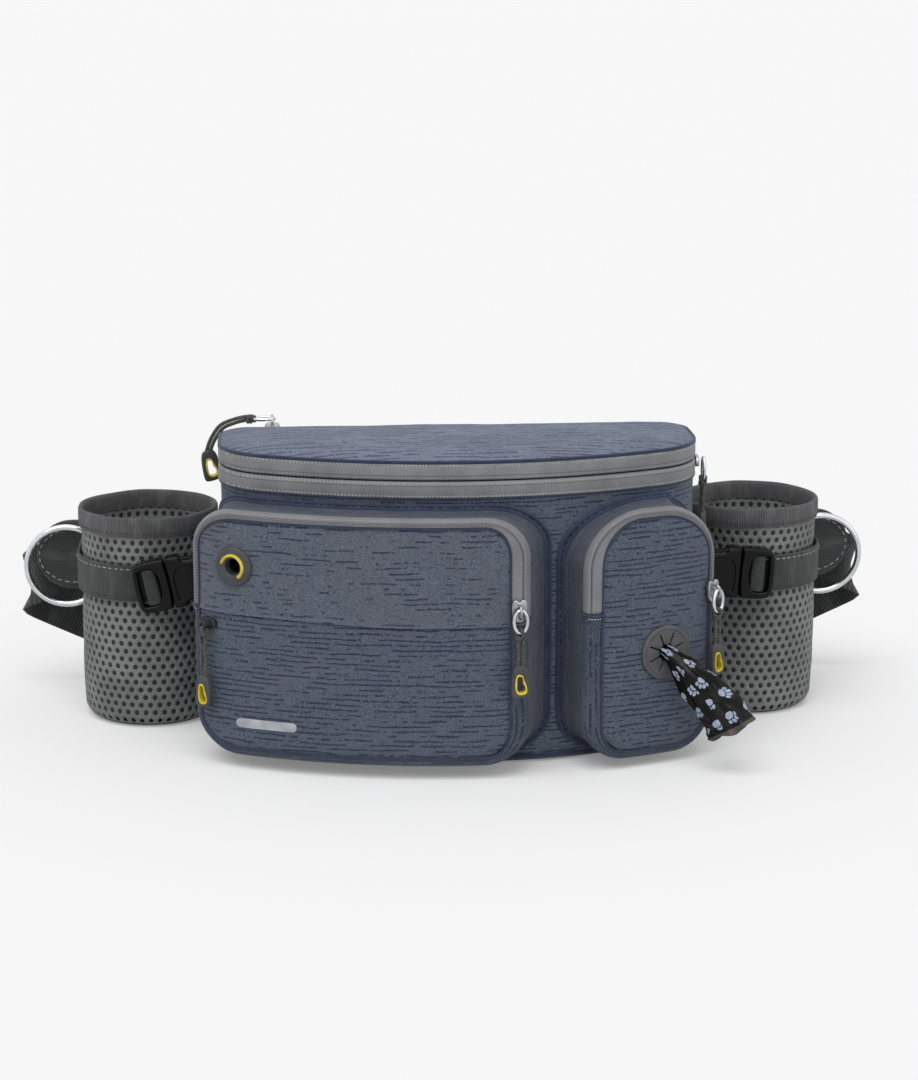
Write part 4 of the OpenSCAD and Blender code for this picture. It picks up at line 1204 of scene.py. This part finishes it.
def net_radius(side, a, z):
    """The net's radius: pulled in by the strap, full below it, gathered at the base."""
    front = 0.5 - 0.5 * math.sin(a)
    r = NET_R - (0.5 + 1.5 * front) * math.exp(-((z - 82) / 11) ** 2)
    r += 0.9 * math.exp(-((z - 42) / 26) ** 2) - 0.8 * math.exp(-((z - 104) / 9) ** 2)
    q = (60 * math.cos(a), 60 * math.sin(a), z + 22 * math.cos(a - 0.6))
    r += 0.75 * wobble(q, 26, 2 + SEED[side]) + 0.3 * wobble(q, 9, 6 + SEED[side])
    top = min(1.0, max(0.0, (z - 98) / 8))  # gathered evenly into the binding
    return min(r, 37.35) * (1 - top) + 36.35 * top


def on_holder(side, r, a, z):
    """A point at a radius and angle about a holder's axis."""
    return ((HOLDER_X + r * math.cos(a)) * SIGN[side], HOLDER_Y + r * math.sin(a), z)


def holder_net(side):
    points, faces = hex_net(NET_CELLS, NET_ROWS, NET_HOLE)
    cell = 2 * math.pi * NET_R / NET_CELLS
    net = Piece(side + "_holder_net")
    for x, y in points:
        a, v = 2 * math.pi * x / NET_CELLS, y * cell
        r, z = NET_R, v
        if v < NET_BEND:  # the net turns in under the base
            bend = v / NET_BEND * math.pi / 2
            r, z = 30.5 + 6.1 * math.sin(bend), 1.0 + 6 * (1 - math.cos(bend))
        slack = net_radius(side, a, max(z, 5)) - NET_R
        r += slack if z > 5 else slack * max(0, z / 5)
        net.points.append(on_holder(side, r, a, min(z, HOLDER_H - RIM_H + 2.6)))
    net.faces = faces
    net.uvs = [[(points[i][0] * cell, points[i][1] * cell) for i in f] for f in faces]
    net.slots = [0] * len(faces)
    net.make([MESH], "bag", "grey_mesh", side + "_holder_mesh", thick=0.95, offset=0, levels=1)


def holder_shade_sheet(side):
    # a dark sheet at the net's own radius fills its holes: painted shade of the holder's inside
    layer = Piece(side + "_holder_lining")
    layer.grid([[on_holder(side, net_radius(side, a, z), a, z)
                 for z in steps(6, HOLDER_H - 5, 34)] for a in turn_of(90)], wrap_u=True)
    layer.make([HOLDER_SHADE_KNIT], "bag", "grey_mesh", thick=0.2, offset=0)


def holder_base(side):
    base = Piece(side + "_holder_base")
    base.tube([on_holder(side, 31.5, a, 1.5) for a in turn_of(72)], 1.4, 8, closed=True)
    base.grid([[on_holder(side, r, a,
                          1.3 + 0.25 * wobble((r * math.cos(a), r * math.sin(a), 0), 7))
                for r in (0.5, 4, 9, 15, 21, 27, 31.2)] for a in turn_of(72)], wrap_u=True)
    base.make([WEB], "bag", "grey_mesh", thick=0.8)


def rim_binding(side):
    seed = SEED[side]
    rim = Piece(side + "_rim_binding")
    z0 = HOLDER_H - RIM_H
    rows = []
    angles = np.linspace(0, 2 * math.pi, 121)
    profile = [(35.4, 0.6), (35.2, 4), (35.3, 8.6), (35.9, 10.2), (36.8, 10.7), (37.8, 10.3),
               (38.3, 9.2), (38.35, 5), (38.3, 1.2), (37.9, 0.1), (37.2, 0.2), (36.9, 1.0),
               (36.9, 8), (36.3, 8.4), (35.9, 7.6), (35.8, 1.0)]
    across = closed_run(profile)
    for a in angles[:-1]:
        lift = 0.5 * wobble((40 * math.cos(a), 40 * math.sin(a), 0), 22, 4 + seed)
        out = 0.35 * wobble((40 * math.cos(a), 40 * math.sin(a), 9), 15, seed)
        ring = [on_holder(side, r + out, a, z0 + z + lift - 0.4) for r, z in profile]
        rows.append([(x, min(y, WING_Y0 - 0.2), z) for x, y, z in ring])
    rim.grid(rows, [[(37 * a, v) for v in across] for a in angles], wrap_u=True, wrap_v=True)
    low_line = [on_holder(side, 38.45, a, z0 + 1.7) for a in np.linspace(0, 2 * math.pi, 160)]
    low_line = [(x, min(y, WING_Y0 - 0.1), z) for x, y, z in low_line]
    rim.stitches(low_line, 3.0, 1.9, 0.24, mat=1)
    rim.make([RIM, ZIP_DARK], "bag", "charcoal_webbing", side + "_holder_rim")


def wing_pad(side):
    """The padded wing that reaches back from the bag to the ring."""
    mid = WING_Y0 + WING_T / 2
    path = smooth_path([(96, PANEL_Y1 + 2.8, 0), (114, PANEL_Y1 + 3.8, 0), (HOLDER_X - 19, mid, 0),
                        (HOLDER_X - 8, mid, 0), (TIP_X - 20, mid, 0)], 4)
    tip = [(x, mid, 0) for x in TIP_X + 20 * np.sin(np.linspace(-math.pi / 2, math.pi / 2, 31))]
    path = np.array(list(path[:-1]) + tip[1:])
    rows, uvs, top_line, low_edge = [], [], [], []
    for c, t, length in zip(path, directions(path), lengths(path)):
        over = max(0, c[0] - TIP_X)
        half = math.sqrt(max(0.0, WING_H ** 2 / 4 - over ** 2))
        n = np.array([t[1], -t[0], 0])
        row = []
        for k in turn_of(40):
            b, a = math.cos(k), math.sin(k)
            b = math.copysign(abs(b) ** 0.35, b)
            a = math.copysign(abs(a) ** 0.6, a)
            edge_t = min(1.0, 0.30 + half / 9)
            puff = 1 - 0.25 * math.exp(-abs(abs(b) * half - half + 4.5) / 1.2)
            row.append(c + n * a * WING_T / 2 * edge_t * puff + np.array([0, 0, WING_Z + b * half]))
        rows.append(flip(side, row))
        uvs.append([(length, p[2]) for p in row] + [(length, row[0][2])])
        if half > 7:
            top_line.append(c + n * 2.75 + np.array([0, 0, WING_Z + half - 4.5]))
            low_edge.append(c + n * 2.75 + np.array([0, 0, WING_Z - half + 4.5]))
    wing = Piece(side + "_wing_pad")
    wing.grid(rows, uvs, wrap_v=True, caps=True)
    wing.stitches(flip(side, top_line + low_edge[::-1]), 4.2, 2.6, 0.3, mat=1, jitter=0.3)
    wing.make([WING_WEB, PALE], "bag", "charcoal_webbing", side + "_wing")


def holder_strap(side):
    strap_z = STRAP_TOP - STRAP_W / 2
    line = [(HOLDER_X + STRAP_R, y, strap_z) for y in steps(WING_Y0 - 0.6, HOLDER_Y + 6, 6)]
    line += [(HOLDER_X + STRAP_R * math.cos(a), HOLDER_Y + STRAP_R * math.sin(a), strap_z)
             for a in np.radians(np.linspace(0, -90, 40))]
    line += [(x, HOLDER_Y - STRAP_R, strap_z) for x in steps(HOLDER_X - 3, HOLDER_X - 15, 5)]
    strap = Piece(side + "_strap_webbing")
    ribbon(strap, flip(side, line), STRAP_W)
    for dz in (STRAP_W / 2 - 2.2, 2.2 - STRAP_W / 2):
        edge_line = []
        for x, y, z in line:
            away = np.array([x - HOLDER_X, min(0, y - HOLDER_Y)])
            away = away / max(1e-6, np.linalg.norm(away)) * 0.9
            edge_line.append((x + away[0], y + away[1], z + dz))
        strap.stitches(flip(side, edge_line), 3.6, 2.1, 0.26, mat=1 if dz > 0 else 2, jitter=0.2)
    strap.make([WEB, PALE, ZIP_DARK], "bag", "charcoal_webbing", side + "_holder_strap")


def buckle_anchor(side):
    anchor = Piece(side + "_anchor_webbing")
    ax, ay = BAG_W / 2 + 1.1, BUCKLE_AT[1] + 6.1
    route = [(ax + 11, ay, 85), (ax + 5, ay, 85), (ax + 1.2, ay + 1.2, 85), (ax, ay + 5, 85),
             (ax, ay + 18, 85)]
    ribbon(anchor, flip(side, smooth_path(route, 1.2)), STRAP_W)
    sewn = [(ax + 0.95, ay + 14.5, z) for z in steps(77, 93, 10)]
    anchor.stitches(flip(side, sewn), 2.4, 1.6, 0.3, mat=1)
    anchor.make([WEB, PALE], "bag", "charcoal_webbing", side + "_buckle_anchor")


def strap_buckle(side):
    """The buckle in the strap, and the webbing's fold round its bar."""
    mirror = Matrix.Diagonal((SIGN[side], 1, 1, 1))
    at = mirror @ Matrix.Translation(BUCKLE_AT) @ turned(BUCKLE_LEAN[side], "Y")
    build_buckle(side, at, 28)
    fold = Piece(side + "_fold_webbing")
    wind = np.linspace(0, 2 * math.pi * 1.9, 50)
    ribbon(fold, placed(at, [(13.95 + (2.5 + 0.09 * t) * math.cos(t), (2.5 + 0.09 * t) *
                              math.sin(t), 0) for t in wind]), 19.6, thick=0.9,
           up=at.to_3x3() @ Vector((0, 0, 1)))
    fold.make([WEB], side + "_buckle_plug", "charcoal_webbing", side + "_strap_fold")


def lead_ring(side):
    ring = Piece(side + "_chrome_ring")
    loop = [(RING_X + RING_R * math.cos(a), RING_Y, RING_Z + RING_R * math.sin(a))
            for a in turn_of(96)]
    bead = [RING_WIRE / 2 * (1 + 0.05 * math.exp(-((k - 24) / 0.9) ** 2)) for k in range(96)]
    ring.tube(flip(side, loop), bead, 20, closed=True)
    ring.make([CHROME], side + "_ring", "chrome_ring", side + "_ring")


def ring_keeper(side):
    keeper = Piece(side + "_keeper_webbing")
    kx = RING_X - RING_R
    loop = [(kx + 3.4 * math.cos(a), RING_Y + 3.4 * math.sin(a), RING_Z)
            for a in np.radians(np.linspace(70, 395, 36))]
    loop = [(kx - 7, WING_Y0 - 0.55, RING_Z), (kx - 3, WING_Y0 - 0.6, RING_Z)] + loop
    ribbon(keeper, flip(side, loop), 10, thick=0.9)
    keeper.make([WEB], "bag", "charcoal_webbing", side + "_ring_keeper")


def belt_half(side):
    wing_y1 = WING_Y0 + WING_T
    belt_y, belt_z = wing_y1 + 20, 15.2
    route = [(TIP_X - 2, wing_y1 + 1.7, 78), (TIP_X + 12, wing_y1 + 2.1, 72),
             (TIP_X + 21, wing_y1 + 4.5, 66), (TIP_X + 24, wing_y1 + 9.5, 60),
             (TIP_X + 20, wing_y1 + 14.5, 54), (TIP_X + 6, wing_y1 + 17.5, 46),
             (TIP_X - 15, belt_y - 1.2, 36), (TIP_X - 40, belt_y - 0.6, 26),
             (TIP_X - 66, belt_y - 0.2, 18), (TIP_X - 92, belt_y, belt_z),
             (60, belt_y, belt_z), (9, belt_y, belt_z)]
    belt = Piece(side + "_belt")
    ribbon(belt, flip(side, smooth_path(route, 3)), 30)
    belt.make([BELT_WEB], "bag", "charcoal_webbing", side + "_belt_webbing")


def build_buckle(name, at, h):
    """A side-release buckle of height h: local X from socket to plug, front towards -Y."""
    flat = at @ turned(90, "X")
    k = h / 2

    socket = Piece(name + "_socket_moulding")
    body_line = [(-22.5, -k + 3), (-19.5, -k), (-15, -k), (-14.2, -k + 3.2), (-5.2, -k + 3.2),
                 (-4.2, -k), (3.2, -k), (3.6, -k + 1), (3.6, k - 1), (3.2, k), (-4.2, k),
                 (-5.2, k - 3.2), (-14.2, k - 3.2), (-15, k), (-19.5, k), (-22.5, k - 3)]
    window = softened([(-20.2, -k + 5.4), (-17.4, -k + 4.4), (-17.4, k - 4.4), (-20.2, k - 5.4)], 2)
    socket.plate([softened(body_line, 2), window], 9.2, 1.1, flat)
    face = [(-15.6, -k + 6.5), (-13, -k + 4), (-6, -k + 4), (-3, -k + 1), (3.0, -k + 0.8),
            (3.0, k - 0.8), (-3, k - 1), (-6, k - 4), (-13, k - 4), (-15.6, k - 6.5)]
    recess = [(-13.6, -k * 0.22), (-13.6, k * 0.40), (-11.2, k * 0.58), (0.6, k * 0.58),
              (0.6, -k * 0.74), (-2.4, -k * 0.70), (-12, -k * 0.36)]
    socket.plate([softened(face, 2), softened(recess, 3)], 10.2, 0.5, flat)
    socket.plate([softened([(-22.1, -k + 3), (-19.6, -k + 0.8), (-16, -k + 0.8), (-16, k - 0.8),
                            (-19.6, k - 0.8), (-22.1, k - 3)], 2), window], 10.0, 0.5, flat)
    socket.make([BLACK], "bag", "black_plastic", name + "_buckle_socket")
    plug = Piece(name + "_plug_moulding")
    frame_line = [(4.0, -k + 1), (5, -k), (19, -k), (22.5, -k + 3.5), (22.5, k - 3.5), (19, k),
                  (5, k), (4.0, k - 1)]
    opening = [(8.6, -k + 3.7), (18.6, -k + 3.7), (19.4, -k + 5), (19.4, k - 5), (18.6, k - 3.7),
               (8.6, k - 3.7)]
    plug.plate([softened(frame_line, 2), softened(opening, 2)], 8.8, 1.0, flat)
    plug.plate([softened([(4.2, -k + 1.5), (7.4, -k + 1.5), (7.4, k - 1.5), (4.2, k - 1.5)], 2)],
               9.6, 0.5, flat)
    bar = [(13.95, 0, z) for z in steps(-k + 3, k - 3, 6)]
    plug.tube(placed(at, bar), 1.85, 14)
    for z in (-k + 4, k - 4):
        lean = 1 if z > 0 else -1
        prong = [(4.5, z - 1.6), (4.5, z + 1.6), (-6, z + 1.6 + (0.6 if lean > 0 else 0)),
                 (-12.5, z + 1.2), (-13, z), (-12.5, z - 1.2),
                 (-6, z - 1.6 - (0.6 if lean < 0 else 0))]
        plug.plate([softened(prong, 2)], 3.8, 0.5, flat)
    plug.plate([[(4.5, -1.4), (4.5, 1.4), (-8, 1.2), (-8, -1.2)]], 3.0, 0.4, flat)
    plug.make([BLACK], name + "_buckle_plug", "black_plastic", name + "_buckle_plug")


for side in ("left", "right"):
    for build in (holder_net, holder_shade_sheet, holder_base, rim_binding, wing_pad, holder_strap,
                  buckle_anchor, strap_buckle, lead_ring, ring_keeper, belt_half):
        build(side)
belt_at = Matrix.Translation((0, WING_Y0 + WING_T + 20 - WEB_T / 2 - 0.3 - 5, 16.2))
build_buckle("belt", belt_at, 32)

# ---------------------------------------------------------------- zip sliders and pulls
PIN_X = 5.4
TAB = softened([(-3.1, 0.4), (3.0, 0.4), (4.5, -3.4), (4.7, -8), (5.2, -12.6), (4.4, -16.6),
                (-3.9, -17.2), (-5.0, -15.2), (-4.8, -4.4)])
BOOT = [(-2.9, -4.2), (0.9, -4.2), (1.7, -7.8), (3.3, -11.2), (3.0, -14.8), (-3.0, -15.0)]


def shrunk(line, by):
    """A small outline moved in towards its middle by about that much."""
    cx, cy = np.mean(line, axis=0)
    return [(cx + (x - cx) * (1 - by / max(0.1, math.hypot(x - cx, y - cy))),
             cy + (y - cy) * (1 - by / max(0.1, math.hypot(x - cx, y - cy)))) for x, y in line]


def tab_and_insert(pull, insert, at):
    """The moulded tab with its yellow ring; at has X outward, Y across, Z up."""
    turn = outward(at)
    boot = softened(BOOT)
    pull.plate([TAB, boot], 3.3, 0.7, turn, mat=1)
    insert.plate([shrunk(boot, -0.15), shrunk(boot, 1.0)], 3.9, 0.4, turn)


def slider(name, at, upright, metal=ZIP_METAL):
    """A metal zip slider; an upright one has a bridge for its pull."""
    turn = outward(at)
    w, h = (4.3, 5.9) if upright else (5.9, 4.3)
    line = [(-w * 0.72, -h), (w * 0.72, -h), (w, h * 0.35), (w * 0.8, h), (w * 0.25, h),
            (0, h * 0.72), (-w * 0.25, h), (-w * 0.8, h), (-w, h * 0.35)]
    if not upright:
        line = [(-h * 1.36, -w * 0.53), (h * 1.36, -w * 0.53), (h * 1.36, w * 0.53),
                (-h * 1.36, w * 0.53)]
    piece = Piece(name + "_slider_body")
    piece.plate([softened(line, 2)], 2.2, 0.5, turn @ Matrix.Translation((0, 0, 1.5)))
    if upright:
        bridge = [(2.2, 0, -3.4), (5.2, 0, -3.2), (6.9, 0, -1.2), (6.9, 0, 1.2), (5.2, 0, 3.2),
                  (2.2, 0, 3.4)]
        piece.tube(placed(at, smooth_path(bridge, 0.8)), 0.75, 8)
    piece.make([metal], name + "_slider", "slider_metal", name + "_slider")


def hanging_pull(name, at, upright=True, metal=ZIP_METAL, wire=CHROME, loop_r=5.9):
    """Slider, wire loop, doubled cord and tab, all hanging from the slider's bridge."""
    top = -2 * loop_r
    slider(name, at, upright, metal)
    pull = Piece(name + "_pull_cord")
    loop = [(PIN_X + 0.2, loop_r * 0.6 * math.sin(a), 1.3 - loop_r + loop_r * math.cos(a))
            for a in turn_of(40)]
    pull.tube(placed(at, loop), min(0.95, loop_r * 0.3), 10, mat=2, closed=True)
    cord = [(PIN_X, -1.25, -29)] + [(PIN_X + 0.25 * math.sin(z), -1.2, z)
                                    for z in steps(-26, top - 1.2, 5)]
    cord += [(PIN_X - 1.2, -1.3, top + 1.2), (PIN_X - 1.3, 0, top + 2.8),
             (PIN_X + 1.4, 0.3, top + 2.6), (PIN_X + 1.3, 1.2, top + 0.6)]
    cord += [(PIN_X - 0.25 * math.sin(z), 1.2, z) for z in steps(top - 1.2, -26, 5)] + \
        [(PIN_X, 1.25, -29)]
    pull.tube(placed(at, smooth_path(cord, 0.9)), 1.02, 10)
    wrap = [(PIN_X + 1.9 * math.cos(t), 2.3 * math.sin(t), top + 0.2 - t * 0.16)
            for t in np.linspace(0, 4 * math.pi, 36)]
    pull.tube(placed(at, wrap), 0.55, 8)
    insert = Piece(name + "_tab_ring")
    tab_and_insert(pull, insert, at @ Matrix.Translation((PIN_X, 0, -28)))
    pull.make([CORD, RUBBER, wire], name + "_pull", "dark_cord", name + "_pull")
    insert.make([YELLOW], name + "_pull", "yellow_rubber", name + "_pull_insert")


hanging_pull("main", on_wall(360, 0.4, ZIP_Z - 3), upright=False)
hanging_pull("left", on_wall(facing(LEFT.box[1] - 4.5, POCKET_D), POCKET_D + 0.3, TAPE_Z + 6))
hanging_pull("right", on_wall(facing(RIGHT.box[1] - 3, POCKET_D), POCKET_D + 0.3, TAPE_Z + 6))
# the welt slider and loop take the darkened metal: painted shade under the flap's lip
hanging_pull("welt", on_wall(facing(LEFT.box[0] + 9.0, POCKET_D), POCKET_D, FLAP_Z - 5),
             upright=False, metal=WELT_METAL_SHADE, wire=WELT_METAL_SHADE, loop_r=2.4)


def rear_zip_pull():
    """The rear slider on top of its tape; its pull drapes over the back edge."""
    x, y, z = 20 - REAR_W / 2, REAR_Y0 + REAR_D / 2 + 0.2, REAR_TOP + 1.2
    at = Matrix.Translation((x, y, z)) @ turned(-90, "Y") @ turned(90, "X")
    slider("rear", at, upright=True)
    pull = Piece("rear_pull_cord")
    loop = [(x - 4.6 + 5.9 * math.cos(a), y + 3.5 * math.sin(a), z + PIN_X + 0.2)
            for a in turn_of(40)]
    pull.tube(loop, 0.95, 10, mat=2, closed=True)
    route = smooth_path([(x - 9, y, z + PIN_X), (x - 14, y + 2, z + 5.4),
                         (x - 21, PANEL_Y1 - 3, z + 2.6), (x - 28, PANEL_Y1 + 1, z - 1.4),
                         (x - 33, PANEL_Y1 + 3, z - 9), (x - 35.5, PANEL_Y1 + 4, z - 16)], 1.2)
    ahead = np.gradient(route, axis=0)
    for k in (-1, 1):
        beside = np.cross(ahead, (0.45, 0.85, 0.3))
        beside /= np.linalg.norm(beside, axis=1)[:, None]
        pull.tube(route + beside * 1.1 * k, 1.02, 10)
    knot = [(x - 10.5 - t * 0.25, y + 1.9 * math.cos(t), z + PIN_X + 1.9 * math.sin(t))
            for t in np.linspace(0, 4 * math.pi, 40)]
    pull.tube(knot, 0.8, 8)
    insert = Piece("rear_tab_ring")
    tab_at = Matrix.Translation((x - 35.5, PANEL_Y1 + 4, z - 15))
    tab_and_insert(pull, insert, tab_at @ turned(-80, "Z") @ turned(10, "X"))
    pull.make([CORD, RUBBER, CHROME], "rear_pull", "dark_cord", "rear_pull")
    insert.make([YELLOW], "rear_pull", "yellow_rubber", "rear_pull_insert")


rear_zip_pull()


# ---------------------------------------------------------------- floor and sky
FLOOR_LIFT, SKY_LIGHT, SKY_SEEN = 0.185, 0.52, 0.965


def make_floor():
    """A pale floor 120 m across, a hair below the pouch; the camera sees it a little lit."""
    mesh = bpy.data.meshes.new("floor")
    r = 60
    mesh.from_pydata([(-r, -r, 0), (r, -r, 0), (r, r, 0), (-r, r, 0)], [], [(0, 1, 2, 3)])
    o = bpy.data.objects.new("floor", mesh)
    bpy.context.scene.collection.objects.link(o)
    p = Paint("studio_floor", Specular_IOR_Level=0.0, Roughness=1.0)
    p.bsdf.inputs["Base Color"].default_value = linear("e7e7e7")
    path = p.tree.nodes.new("ShaderNodeLightPath")
    p.bsdf.inputs["Emission Color"].default_value = (1, 1, 1, 1)
    lift = V(p, path.outputs["Is Camera Ray"]) * FLOOR_LIFT
    p.tree.links.new(lift.socket, p.bsdf.inputs["Emission Strength"])
    mesh.materials.append(p.mat)
    o.location.z = -0.0002
    o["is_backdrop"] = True


make_floor()
# the sky lights the cloth softly, and is brighter where the camera or a mirror looks at it
world = bpy.data.worlds.new("studio")
bpy.context.scene.world = world
world.use_nodes = True
tree = world.node_tree
sky = tree.nodes["Background"]
sky.inputs["Color"].default_value = (1, 1, 1, 1)
seen = tree.nodes.new("ShaderNodeLightPath")
bright = seen.outputs["Is Camera Ray"]
for kind in ("Is Glossy Ray", "Is Transmission Ray"):
    either = tree.nodes.new("ShaderNodeMath")
    either.operation = "MAXIMUM"
    tree.links.new(bright, either.inputs[0])
    tree.links.new(seen.outputs[kind], either.inputs[1])
    bright = either.outputs[0]
level = tree.nodes.new("ShaderNodeMapRange")
level.inputs["To Min"].default_value = SKY_LIGHT
level.inputs["To Max"].default_value = SKY_SEEN
tree.links.new(bright, level.inputs["Value"])
tree.links.new(level.outputs[0], sky.inputs["Strength"])

low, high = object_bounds()
{"cad": cad_box, "visual": [list(low), list(high)]}
